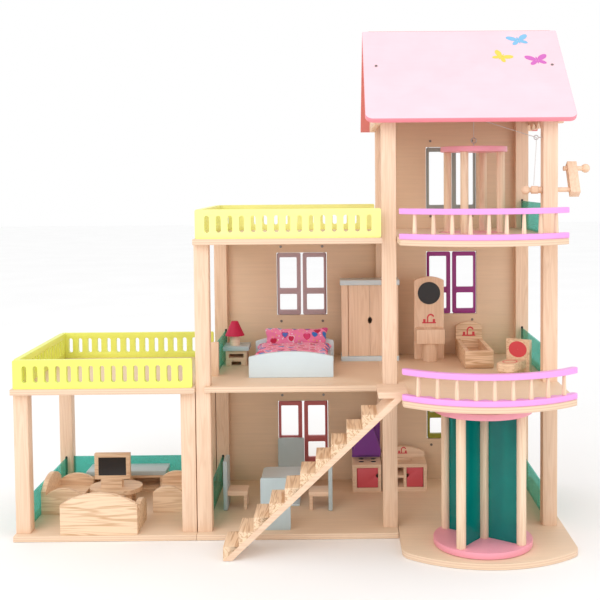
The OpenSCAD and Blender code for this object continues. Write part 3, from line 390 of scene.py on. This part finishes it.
# %% Copies of CAD nodes with sanded edges
def merged_copy(node):
    """The CAD node's mesh as a bmesh with whole flat faces."""
    bm = bmesh.new()
    bm.from_mesh(frame["nodes"][node].data)
    bmesh.ops.remove_doubles(bm, verts=bm.verts, dist=2e-6)
    bmesh.ops.dissolve_limit(bm, angle_limit=math.radians(0.6), verts=bm.verts, edges=bm.edges)
    return bm


def sand(bm, width, segments=2, sharp=35):
    """A small bevel on every edge that turns by more than the given angle."""
    limit = math.radians(sharp)
    edges = [e for e in bm.edges if len(e.link_faces) == 2 and e.calc_face_angle(0) > limit]
    if edges and width > 0:
        bmesh.ops.bevel(bm, geom=edges, offset=width * MM, segments=segments, profile=0.5,
                        affect="EDGES", clamp_overlap=True, material=-1)


def shaded(mesh):
    """Round faces shade smooth and flat ones stay flat."""
    mesh.shade_smooth()
    mesh.set_sharp_from_angle(angle=math.radians(28))


def finish_piece(bm, name, materials, body, slot=None):
    """Makes the bmesh an object that rides on a CAD body."""
    mesh = bpy.data.meshes.new(name)
    bm.to_mesh(mesh)
    bm.free()
    for material in materials:
        mesh.materials.append(material)
    shaded(mesh)
    obj = bpy.data.objects.new(name, mesh)
    bpy.context.scene.collection.objects.link(obj)
    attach(obj, body)
    return obj


BODY_OF = {node: body for body, nodes in frame["record"]["behaviour"]["bodies"].items() for node in nodes}
SLOT_OF = {part["node"]: part["material_slot"] for part in frame["record"]["subparts"]}


def sanded_node(node, material, width=0.6, regions=()):
    """The node with sanded edges; regions give some of its faces other materials."""
    bm = merged_copy(node)
    materials = [material] + [region[0] for region in regions]
    for face in bm.faces:
        face.material_index = 0
        centre = face.calc_center_median() / MM
        for index, (_, low, high) in enumerate(regions, start=1):
            if all(low[i] <= centre[i] <= high[i] for i in range(3)):
                face.material_index = index
    sand(bm, width)
    obj = finish_piece(bm, node + "_piece", materials, BODY_OF[node], SLOT_OF[node])
    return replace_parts(obj, node)


print("nodes to finish:", len(frame["nodes"]))

# %% [markdown]
# ## Plates, posts and walls
# The load-bearing frame: ground plates, floors, square posts and the back walls. Each keeps its CAD
# shape and gets the finish of its real board.

# %% Plates and floors
for node in ("wing_base", "wing_roof", "house_base", "house_floor", "house_roof",
             "tower_base", "tower_floor_2", "tower_floor_3"):
    sanded_node(node, PLY_FLOOR, 0.7)
for node in ("house_walls", "tower_walls"):
    sanded_node(node, PLY_WALL, 0.4)
for node in ("wing_posts", "house_posts", "tower_posts"):
    sanded_node(node, PINE_UP, 1.0)
print("plates, walls and posts are in place")

# %% [markdown]
# ## Roof
# The roof is two painted panels that meet at the ridge. The front one is pale pink with a stronger
# pink edge, and the back one is salmon.

# %% Roof panels and gables
def edge_painted(node, face_paint, edge_paint, width, tilt):
    """A sloping panel whose narrow faces have their own paint."""
    bm = merged_copy(node)
    out = Vector((0, -math.sin(tilt), math.cos(tilt)))
    for face in bm.faces:
        face.material_index = 0 if abs(face.normal.dot(out)) > 0.8 else 1
    sand(bm, width)
    obj = finish_piece(bm, node + "_piece", [face_paint, edge_paint], BODY_OF[node], SLOT_OF[node])
    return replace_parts(obj, node)


ROOF_TILT = math.radians(43)
edge_painted("roof_front", PAINT["roof_pink"], PAINT["roof_edge"], 1.2, ROOF_TILT)
edge_painted("roof_back", PAINT["salmon"], PAINT["salmon"], 1.2, -ROOF_TILT)
sanded_node("gable_trims", PINE_ACROSS, 0.8)
sanded_node("lift_beam", PINE_ACROSS, 0.8)
print("roof is in place")

# %% [markdown]
# ## Railings, rails and windows
# Painted trim. The two terraces have slotted boards, the balconies have bowed violet rails on bare
# balusters, and each window has two painted leaves on pins.

# %% Painted trim
LEAF_PAINT = {"house_lower": "red", "house_upper": "mauve", "tower_lower": "olive",
              "tower_middle": "purple", "tower_upper": "grey"}
for window, colour in LEAF_PAINT.items():
    for side in ("left", "right"):
        sanded_node(f"{window}_{side}", PAINT[colour], 0.5)
wing_side = (PAINT["lime_deep"], (-480, -200, 250), (-165, 200, 310))
sanded_node("terrace_railings", PAINT["lime"], 0.7, [wing_side])
sanded_node("balcony_rails", PAINT["violet"], 1.4)
sanded_node("balusters", PINE_DOWEL, 0.3)
print("painted trim is in place")

# %% [markdown]
# ## Panels and fittings
# The acrylic sheets stand in grooves in the posts. Screws, hinge pins and eyes are small zinc parts,
# too small for a wider bevel.

# %% Panels and fittings
sanded_node("acrylic_panels", ACRYLIC, 0.3)
sanded_node("screws", SCREW, 0.25)
sanded_node("hinge_pins", ZINC, 0)
sanded_node("string_eyes", ZINC, 0)
sanded_node("lift_eye", ZINC, 0)
print("fittings are in place")

# %% [markdown]
# ## Painted shade in the groove ends
# The groove that holds a panel is a little taller than the panel, so its round end shows as a dark
# dot of shade above the panel's corner. A thin black disc on the post paints that shade.

# %% Painted shade in the groove ends above the panels
def painted_groove_shade(name, x, y, z):
    """A black disc of painted shade in the rounded end of a panel's groove, seen from the front."""
    bm = bmesh.new()
    disc = Matrix.Translation(mm(x, y - 0.15, z)) @ Matrix.Rotation(math.radians(90), 4, "X")
    bmesh.ops.create_cone(bm, cap_ends=True, segments=20, radius1=2.2 * MM, radius2=2.2 * MM,
                          depth=0.3 * MM, matrix=disc)
    # The black paint is painted shade: the open groove end is dark only because light does not reach into
    # it.
    return finish_piece(bm, name, [PAINT["black"]], "root", "pine")


PANEL_TOP = 52
BACK_POST = 134.5
for label, x, floor in (("wing", -457, 9.5), ("house", -155, 9.5), ("bedroom", -145.75, 254),
                        ("tower_low", 423, 9.5), ("tower_middle", 423, 254), ("tower_top", 423, 498.5)):
    # One disc of painted shade above each panel's back corner.
    painted_groove_shade(f"painted_groove_shade_{label}", x, BACK_POST, floor + PANEL_TOP + 1.2)
print("groove ends:", 6)

# %% [markdown]
# ## Stairs, lift, winch and revolving door
# The stairs are triangular blocks on an inclined board. The lift and the revolving door are cages
# of dowels between painted discs, and the winch is turned by a crank outside the tower.

# %% Moving cages and stairs
sanded_node("stair_board", PINE_ACROSS, 0.6)
sanded_node("stair_steps", PINE_STEP, 0.6)
sanded_node("lift_discs", PAINT["pink"], 0.8)
sanded_node("lift_rods", PINE_DOWEL, 0.3)
sanded_node("winch_axle", PINE_ACROSS, 0.3)
sanded_node("crank_arm", PINE_UP, 1.2)
sanded_node("crank_handle", PINE_ACROSS, 0.3)
sanded_node("door_discs", PAINT["pink"], 0.8)
sanded_node("door_rods", PINE_DOWEL, 0.4)
sanded_node("door_panels", ACRYLIC_DOOR, 0.3)
sanded_node("winch_string", STRING, 0)
print("cages, stairs and winch are in place")

# %% [markdown]
# ## The lift's string
# The string above the lift hangs from the hook and is tied to the lift's eye. Its upper end stays while
# its lower end follows the lift; here it is one straight cord, not attached to either body.

# %% The lift's string
def lift_string():
    low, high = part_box("lift_string")
    bm = bmesh.new()
    middle = (low + high) / 2
    bmesh.ops.create_cone(bm, cap_ends=True, segments=12, radius1=0.0006, radius2=0.0006,
                          depth=high.z - low.z, matrix=Matrix.Translation(middle))
    mesh = bpy.data.meshes.new("lift_string_piece")
    bm.to_mesh(mesh)
    bm.free()
    mesh.materials.append(STRING)
    shaded(mesh)
    obj = bpy.data.objects.new("lift_string_piece", mesh)
    bpy.context.scene.collection.objects.link(obj)
    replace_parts(obj, "lift_string")
    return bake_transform(obj)


print("string:", lift_string().name)

# %% [markdown]
# ## Furniture
# Each piece of furniture is glued up from small boards. A set in the CAD part is cut into its
# separate pieces here, so that each has its own name and its own paint.

# %% Cutting a set into pieces
def islands(bm):
    """Groups of faces that hang together."""
    seen = set()
    for first in bm.faces:
        if first in seen:
            continue
        group, todo = [], [first]
        seen.add(first)
        while todo:
            face = todo.pop()
            group.append(face)
            for edge in face.edges:
                for other in edge.link_faces:
                    if other not in seen:
                        seen.add(other)
                        todo.append(other)
        yield group


def cut_set(node, parts, width=0.7):
    """Makes one piece of each part: its name, its box, its main material and its regions."""
    made = []
    for name, low, high, material, regions in parts:
        bm = merged_copy(node)
        drop = []
        for group in islands(bm):
            centre = sum((f.calc_center_median() for f in group), Vector()) / len(group) / MM
            if not all(low[i] <= centre[i] <= high[i] for i in range(3)):
                drop += group
        bmesh.ops.delete(bm, geom=drop, context="FACES")
        materials = [material] + [region[0] for region in regions]
        for face in bm.faces:
            face.material_index = 0
            centre = face.calc_center_median() / MM
            for index, (_, a, b) in enumerate(regions, start=1):
                if all(a[i] <= centre[i] <= b[i] for i in range(3)):
                    face.material_index = index
        faces = len(bm.faces)
        sand(bm, width)
        obj = finish_piece(bm, name, materials, BODY_OF[node], SLOT_OF[node])
        made.append(obj)
        print(name, faces, "faces")
    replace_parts(made[0], node)
    return made


LOW, HIGH = -2000, 2000

# %% [markdown]
# ## Bedroom
# A pale blue bed, a night table with its lamp, and a pine wardrobe between two painted boards.

# %% Bedroom furniture
sanded_node("bed_frame", PAINT["blue"], 1.2)
sanded_node("wardrobe_body", PINE_UP, 0.9, [
    (PAINT["blue"], (LOW, LOW, LOW), (HIGH, HIGH, 263.1)),
    (PAINT["blue"], (LOW, LOW, 396.9), (HIGH, HIGH, HIGH)),
])
sanded_node("wardrobe_door_left", PINE_UP, 0.8)
sanded_node("wardrobe_door_right", PINE_UP, 0.8)
sanded_node("night_table", PINE_ACROSS, 0.7, [
    (PAINT["blue_grey"], (LOW, LOW, 280.9), (HIGH, HIGH, 288.6)),
    (PAINT["shade"], (LOW, LOW, 306.8), (HIGH, HIGH, HIGH)),
])
print("bedroom nodes finished:", 5)

# %% [markdown]
# ## Kitchen
# The cooker carries a black-plated hob and a purple hood. Both units have a red door.

# %% Kitchen furniture
cut_set("kitchen_units", [
    ("cooker", (LOW, LOW, LOW), (149, HIGH, HIGH), PINE_ACROSS, [
        (PAINT["hood"], (96, 90, 72.5), (HIGH, 122.1, HIGH)),
        (PAINT["black"], (100, 70, 61.5), (140, 121, 63)),
    ]),
    ("sink_unit", (149, LOW, LOW), (HIGH, HIGH, HIGH), PINE_ACROSS, []),
])
sanded_node("cooker_door", PAINT["door_red"], 0.6)
sanded_node("sink_door", PAINT["door_red"], 0.6)

# %% [markdown]
# ## Printed shapes
# Taps, a lid and a seat are printed on the real furniture. A print would need an image, so each is
# built from bars and rings a third of a millimetre thick. A ring is a loop of small sections, which
# also gives an arc when it stops short of a full turn, and a disc when its hole is almost closed.

# %% Bars and rings
def printed(name, shapes, matrix, slot):
    """Thin raised bars and rings in the X and Z plane, facing -Y, in millimetres."""
    bm = bmesh.new()
    for index, (kind, *size) in enumerate(shapes):
        film = 0.3 + index * 0.02
        if kind == "bar":
            x, z, wide, tall = size
            box = Matrix.Translation((x, -film / 2, z)) @ Matrix.Diagonal((wide, film, tall, 1))
            bmesh.ops.create_cube(bm, size=1.0, matrix=box)
            continue
        x, z, wide, tall, inner, start, stop = size
        steps = 28
        full = stop - start >= 360
        loops = []
        for k in range(steps + (0 if full else 1)):
            angle = math.radians(start + (stop - start) * k / steps)
            ca, sa = math.cos(angle), math.sin(angle)
            loops.append([bm.verts.new((x + wide * r * ca, y, z + tall * r * sa))
                          for r, y in ((inner, 0), (1, 0), (1, -film), (inner, -film))])
        count = len(loops)
        for k in range(count if full else count - 1):
            a, b = loops[k], loops[(k + 1) % count]
            for m in range(4):
                bm.faces.new((a[m], a[(m + 1) % 4], b[(m + 1) % 4], b[m]))
        if not full:
            bm.faces.new(loops[0])
            bm.faces.new(loops[-1])
    bmesh.ops.recalc_face_normals(bm, faces=bm.faces)
    bmesh.ops.transform(bm, matrix=Matrix.Scale(MM, 4) @ matrix, verts=bm.verts)
    return finish_piece(bm, name, [PAINT["print"]], "root", slot)


print("printed shapes can be bars or rings")

# %% [markdown]
# ## Bathroom
# Washbasin, bath and toilet are cut from thick pine with a bold grain. Their taps, lid and seat are
# only printed on, so thin raised shapes stand in for the print.

# %% Bathroom furniture
cut_set("bathroom_set", [
    ("washbasin", (LOW, LOW, LOW), (280, HIGH, HIGH), PINE_UP, [
        (PAINT["black"], (LOW, 95, 355), (HIGH, 96.4, 402)),
    ]),
    ("bath", (280, -5, LOW), (350, HIGH, HIGH), PINE_BOLD, []),
    ("toilet", (320, LOW, LOW), (HIGH, -5, HIGH), PINE_SOFT, []),
])


TAP = [("bar", 0, 0, 26, 2.4), ("bar", -9, 4, 4.5, 6), ("bar", 9, 4, 4.5, 6),
       ("ring", 3, 9, 7, 8, 0.62, 20, 180), ("bar", -2.7, 5, 2.4, 9)]
printed("washbasin_tap", TAP, Matrix.Translation((241, 97, 323)), "pine")
printed("bath_tap", TAP, Matrix.Translation((321, 140, 292)), "pine")
printed("sink_tap", TAP, Matrix.Translation((191, 122, 68)) @ Matrix.Scale(0.72, 4), "pine")
TOILET = Matrix.Translation((362, -86, 254)) @ Matrix.Rotation(math.radians(-35), 4, "Z")
UPRIGHT = Matrix.Translation((0, 33, 43))
printed("toilet_lid", [("ring", 0, 0, 17, 14, 0.02, 0, 360)], TOILET @ UPRIGHT, "pine")
LYING = Matrix.Translation((0, 2, 26)) @ Matrix.Rotation(math.radians(-90), 4, "X")
printed("toilet_seat", [("ring", 0, 0, 12, 16, 0.86, 0, 360)], TOILET @ LYING, "pine")
print("taps, lid and seat are printed on")

# %% [markdown]
# ## Dining room
# Four chairs with painted backs stand around a pale blue table.

# %% Dining furniture
cut_set("dining_set", [
    ("chair_left", (-160, -60, LOW), (-80, 40, HIGH), PINE_ACROSS,
     [(PAINT["blue_grey"], (-137, LOW, LOW), (-128.9, HIGH, HIGH))]),
    ("chair_front", (-80, -160, LOW), (10, -80, HIGH), PINE_DEEP,
     [(PAINT["blue_grey"], (LOW, -140, LOW), (HIGH, -131.9, HIGH))]),
    ("chair_right", (20, -60, LOW), (80, 40, HIGH), PINE_ACROSS,
     [(PAINT["blue_grey"], (49.9, LOW, LOW), (58, HIGH, HIGH))]),
    ("chair_back", (-80, 80, LOW), (40, 160, HIGH), PINE_DEEP,
     [(PAINT["blue_grey"], (LOW, 126.9, LOW), (HIGH, 135, HIGH))]),
    ("dining_table", (-80, -40, LOW), (20, 70, HIGH), PAINT["blue"], []),
])

# %% [markdown]
# ## Living room
# A sofa and two armchairs face a low table with a screen on it, and a bench stands at the back.

# %% Living room furniture
cut_set("living_set", [
    ("low_table_and_screen", (-399, -25, LOW), (-290, 70, HIGH), PINE_SOFT,
     [(PAINT["black"], (-368, 12.3, 60), (-316, 13, 96))]),
    ("sofa", (-400, -170, LOW), (-250, -60, HIGH), PINE_BOLD, []),
    ("left_armchair", (-465, -60, LOW), (-399.1, 70, HIGH), PINE_SOFT, []),
    ("right_armchair", (-265, -60, LOW), (-190, 70, HIGH), PINE_SOFT, []),
    ("bench", (-415, 72, LOW), (-245, 140, HIGH), PINE_SOFT,
     [(PAINT["blue_grey"], (-407, 79, 41.4), (-256, 134, 49.6))]),
])

# %% [markdown]
# ## Bedding
# The bed has a printed cotton pillow and a quilt. Both are padded: their corners stick out, their
# sides pull in and their surface is puckered. Each starts as a slightly small block, is remeshed,
# and is blown up as cloth.

# %% Printed cotton
def printed_cotton(name):
    net = Net(name)
    x, y, z = net.axes(net.place())
    across, along = x * 52, y * 52 + z * 50
    flat = net.add("ShaderNodeCombineXYZ", {0: across, 1: along, 2: 0})
    cell = {"Vector": flat, "Scale": 1.0, "Randomness": 0.7}
    random = net.axes(net.add("ShaderNodeTexVoronoi", cell, output="Color", voronoi_dimensions="2D"))
    middle = net.axes(net.add("ShaderNodeTexVoronoi", cell, output="Position", voronoi_dimensions="2D"))
    speck = net.add("ShaderNodeTexVoronoi", {"Vector": flat, "Scale": 2.3, "Randomness": 0.9},
                    output="Distance", voronoi_dimensions="2D")
    tint = net.axes(net.add("ShaderNodeTexVoronoi", {"Vector": flat, "Scale": 2.3, "Randomness": 0.9},
                            output="Color", voronoi_dimensions="2D"))

    def heart(size):
        """1 inside a heart around the cell's middle, and 0 outside."""
        u = (across - middle[0]) / size
        v = (along - middle[1]) / size
        around = u * u + v * v - 1
        return (around * around * around - u * u * v * v * v) < 0

    colour = net.mix(speck < 0.15, (0.90, 0.24, 0.44),
                     net.ramp(tint[0], (0.4, (0.95, 0.82, 0.88)), (0.7, (0.88, 0.50, 0.14))))
    rim = net.ramp(random[0], (0.3, (0.93, 0.70, 0.80)), (0.6, (0.60, 0.02, 0.10)))
    core = net.ramp(random[1], (0.0, (0.52, 0.01, 0.06)), (0.45, (0.82, 0.05, 0.16)),
                    (0.8, (0.04, 0.20, 0.60)))
    colour = net.mix(heart(0.30), colour, rim)
    colour = net.mix(heart(0.24), colour, core)
    weave = net.sine(x * 9000) * net.sine((y + z) * 9000)
    bsdf = net.add("ShaderNodeBsdfPrincipled", {
        "Base Color": colour,
        "Roughness": weave * 0.05 + 0.85,
        "Sheen Weight": 0.2,
        "Normal": net.bump(weave, 0.2, 0.0001),
    })
    return net.surface(bsdf)


COTTON = printed_cotton("printed_cotton")
print("cotton:", COTTON.name)

# %% [markdown]
# ## Padded shapes
# A stuffed piece is thin at its seams, its corners reach out and its sides pull in. The block is
# given that outline first, then cloth pressure fills it and small folds run over it.

# %% Padded pieces
def padded_block(name, node, low, high, cap, puckers, seed):
    """A padded piece from a block in millimetres: bevelled, blown up and puckered."""
    bm = bmesh.new()
    size = Vector(high) - Vector(low)
    centre = (Vector(high) + Vector(low)) / 2
    bmesh.ops.create_cube(bm, size=1.0)
    bmesh.ops.scale(bm, vec=size * MM, verts=bm.verts)
    bmesh.ops.translate(bm, vec=centre * MM, verts=bm.verts)
    bmesh.ops.bevel(bm, geom=bm.edges[:], offset=min(size) * 0.25 * MM, segments=3, profile=0.5,
                    affect="EDGES", clamp_overlap=True, material=-1)
    mesh = bpy.data.meshes.new(name)
    bm.to_mesh(mesh)
    bm.free()
    obj = bpy.data.objects.new(name, mesh)
    bpy.context.scene.collection.objects.link(obj)
    remesh = obj.modifiers.new("remesh", "REMESH")
    remesh.mode = "VOXEL"
    remesh.voxel_size = 0.003
    settle(obj)
    stuffed_outline(obj, low, high)
    blow_up(obj, cap)
    pucker(obj, low, high, puckers, seed)
    smooth = obj.modifiers.new("smooth", "SUBSURF")
    smooth.levels = smooth.render_levels = 1
    settle(obj)
    obj.data.materials.clear()
    obj.data.materials.append(COTTON)
    obj.data.shade_smooth()
    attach(obj, "root")
    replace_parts(obj, node)
    return obj


def stuffed_outline(obj, low, high):
    """Corners out, sides in, and thin towards the seams; the thinnest side is the thickness."""
    centre = [(a + b) / 2 for a, b in zip(low, high)]
    half = [(b - a) / 2 for a, b in zip(low, high)]
    thin = half.index(min(half))
    first, second = [axis for axis in range(3) if axis != thin]
    for vertex in obj.data.vertices:
        t = [(vertex.co[axis] / MM - centre[axis]) / half[axis] for axis in range(3)]
        u, v = t[first], t[second]
        seam = min(1, max(abs(u), abs(v)))
        t[first] = u * (0.96 + 0.09 * v * v)
        t[second] = v * (0.94 + 0.16 * u * u)
        t[thin] *= 1 - 0.7 * seam ** 5
        vertex.co = Vector([(centre[axis] + t[axis] * half[axis]) * MM for axis in range(3)])


def settle(obj):
    """Applies the piece's modifiers to its mesh."""
    bpy.context.view_layer.update()
    graph = bpy.context.evaluated_depsgraph_get()
    mesh = bpy.data.meshes.new_from_object(obj.evaluated_get(graph))
    obj.modifiers.clear()
    obj.data = mesh


def blow_up(obj, cap):
    """Cloth with a little pressure, each point moving no further than the cap."""
    before = [v.co.copy() for v in obj.data.vertices]
    cloth = obj.modifiers.new("cloth", "CLOTH")
    cloth.settings.use_pressure = True
    cloth.settings.uniform_pressure_force = 4
    cloth.settings.effector_weights.gravity = 0
    cloth.point_cache.frame_end = 16
    for step in range(1, 17):
        bpy.context.scene.frame_set(step)
    settle(obj)
    bpy.context.scene.frame_set(1)
    for vertex, start in zip(obj.data.vertices, before):
        move = vertex.co - start
        if move.length > cap * MM:
            vertex.co = start + move.normalized() * cap * MM


def pucker(obj, low, high, depth, seed):
    """Small folds from noise, pushed out or in over the whole surface."""
    for vertex in obj.data.vertices:
        p = vertex.co / MM
        fold = noise.noise(Vector((p.x * 0.09 + seed, p.y * 0.09, p.z * 0.13)))
        fine = noise.noise(Vector((p.x * 0.28, p.y * 0.28 + seed, p.z * 0.3)))
        push = (fold * depth + fine * depth * 0.35) * MM
        vertex.co += vertex.normal * push


pillow = padded_block("pillow", "bed_pillow", (-66, 61, 278), (50, 81, 318), 3, 2.2, 3.1)
quilt = padded_block("quilt", "bed_blanket", (-80, -66, 276.5), (56, 66, 293), 3, 2.4, 8.4)
print("pillow and quilt:", len(pillow.data.polygons), len(quilt.data.polygons), "faces")

# %% [markdown]
# ## Butterflies on the roof
# Three flat butterflies are printed on the front roof panel. Each is four rounded wings and a body,
# here a thin raised film so that it holds its shape in every view.

# %% Butterflies
RIDGE = mm(0, 14, 856)


def on_roof(x, down, lift):
    """A point on the front roof panel: x across, down the slope from the ridge, and above it."""
    along = Vector((0, -math.cos(ROOF_TILT), -math.sin(ROOF_TILT)))
    out = Vector((0, -math.sin(ROOF_TILT), math.cos(ROOF_TILT)))
    return RIDGE + Vector((x * MM, 0, 0)) + along * down * MM + out * lift * MM


def butterfly(name, x, down, size, turn, material):
    bm = bmesh.new()
    wings = [(-0.50, 0.36, 0.50, 0.27, -38), (0.50, 0.36, 0.50, 0.27, 38),
             (-0.36, -0.28, 0.36, 0.20, 40), (0.36, -0.28, 0.36, 0.20, -40), (0, 0.02, 0.08, 0.46, 0)]
    for index, (cx, cy, rx, ry, tilt) in enumerate(wings):
        shape = (Matrix.Translation((cx * size, cy * size, index * 0.02))
                 @ Matrix.Rotation(math.radians(tilt), 4, "Z")
                 @ Matrix.Diagonal((rx * size, ry * size, 1, 1)))
        bmesh.ops.create_cone(bm, cap_ends=True, segments=28, radius1=1, radius2=1, depth=0.3, matrix=shape)
    spin = Matrix.Rotation(math.radians(turn), 4, "Z")
    for vertex in bm.verts:
        p = spin @ vertex.co
        vertex.co = on_roof(x + p.x, down - p.y, p.z + 0.16)
    bmesh.ops.recalc_face_normals(bm, faces=bm.faces)
    return finish_piece(bm, name, [material], "root", "pink_paint")


butterfly("butterfly_blue", 391, 30, 21, 12, PAINT["wing_blue"])
butterfly("butterfly_yellow", 355, 78, 19, -35, PAINT["wing_yellow"])
butterfly("butterfly_violet", 416, 88, 21, 8, PAINT["wing_violet"])
print("three butterflies")

# %% [markdown]
# ## Floor, light and camera
# A pale floor and a pale surround stand in for a studio. One large soft light comes from the front
# left, and a weaker one fills the right.

# %% Floor and light
def pale_floor():
    net = Net("studio_floor")
    speck = net.noise(net.stretched((3, 3, 3)), detail=1)
    bsdf = net.add("ShaderNodeBsdfPrincipled", {
        "Base Color": net.ramp(speck, (0.3, (0.96, 0.96, 0.96)), (0.7, (0.98, 0.98, 0.98))),
        "Roughness": 0.9,
    })
    bm = bmesh.new()
    bmesh.ops.create_grid(bm, x_segments=1, y_segments=1, size=12)
    mesh = bpy.data.meshes.new("floor")
    bm.to_mesh(mesh)
    bm.free()
    mesh.materials.append(net.surface(bsdf))
    obj = bpy.data.objects.new("floor", mesh)
    obj.location.z = -0.0005
    bpy.context.scene.collection.objects.link(obj)


def soft_light(name, place, target, size, power):
    data = bpy.data.lights.new(name, "AREA")
    data.shape = "SQUARE"
    data.size = size
    data.energy = power
    obj = bpy.data.objects.new(name, data)
    obj.location = place
    obj.rotation_euler = (Vector(target) - Vector(place)).to_track_quat("-Z", "Y").to_euler()
    bpy.context.scene.collection.objects.link(obj)


pale_floor()
soft_light("key", (-1.6, -2.6, 2.2), (0, 0, 0.35), 2.2, 30)
soft_light("fill", (2.4, -2.0, 1.4), (0.1, 0, 0.4), 2.0, 12)
world = bpy.data.worlds.new("studio")
world.use_nodes = True
world.node_tree.nodes["Background"].inputs[0].default_value = (1, 1, 1, 1)
world.node_tree.nodes["Background"].inputs[1].default_value = 1.0
bpy.context.scene.world = world
bpy.context.scene.view_settings.view_transform = "Standard"
print("lights:", 2)

# %% [markdown]
# ## Camera
# The camera stands in front of the middle section, a little above it and close enough for some
# perspective. Its direction is built from yaw, pitch and roll, and the lens is shifted.

# %% Camera
yaw, pitch, roll = (math.radians(a) for a in (0.31, -2.93, -0.47))
ahead = Vector((math.sin(yaw) * math.cos(pitch), math.cos(yaw) * math.cos(pitch), math.sin(pitch)))
level = Vector((math.cos(yaw), -math.sin(yaw), 0))
above = level.cross(ahead)
right = level * math.cos(roll) + above * math.sin(roll)
up = above * math.cos(roll) - level * math.sin(roll)
camera_data = bpy.data.cameras.new("camera")
camera_data.sensor_width = 36
camera_data.lens = 62.184
camera_data.shift_x = -0.07183
camera_data.shift_y = -0.11267
camera = bpy.data.objects.new("camera", camera_data)
camera.matrix_world = Matrix((
    (right.x, up.x, -ahead.x, 0.0698),
    (right.y, up.y, -ahead.y, -1.8441),
    (right.z, up.z, -ahead.z, 0.5941),
    (0, 0, 0, 1),
))
bpy.context.scene.collection.objects.link(camera)
bpy.context.scene.camera = camera
print("lens", round(camera_data.lens, 1), "mm")
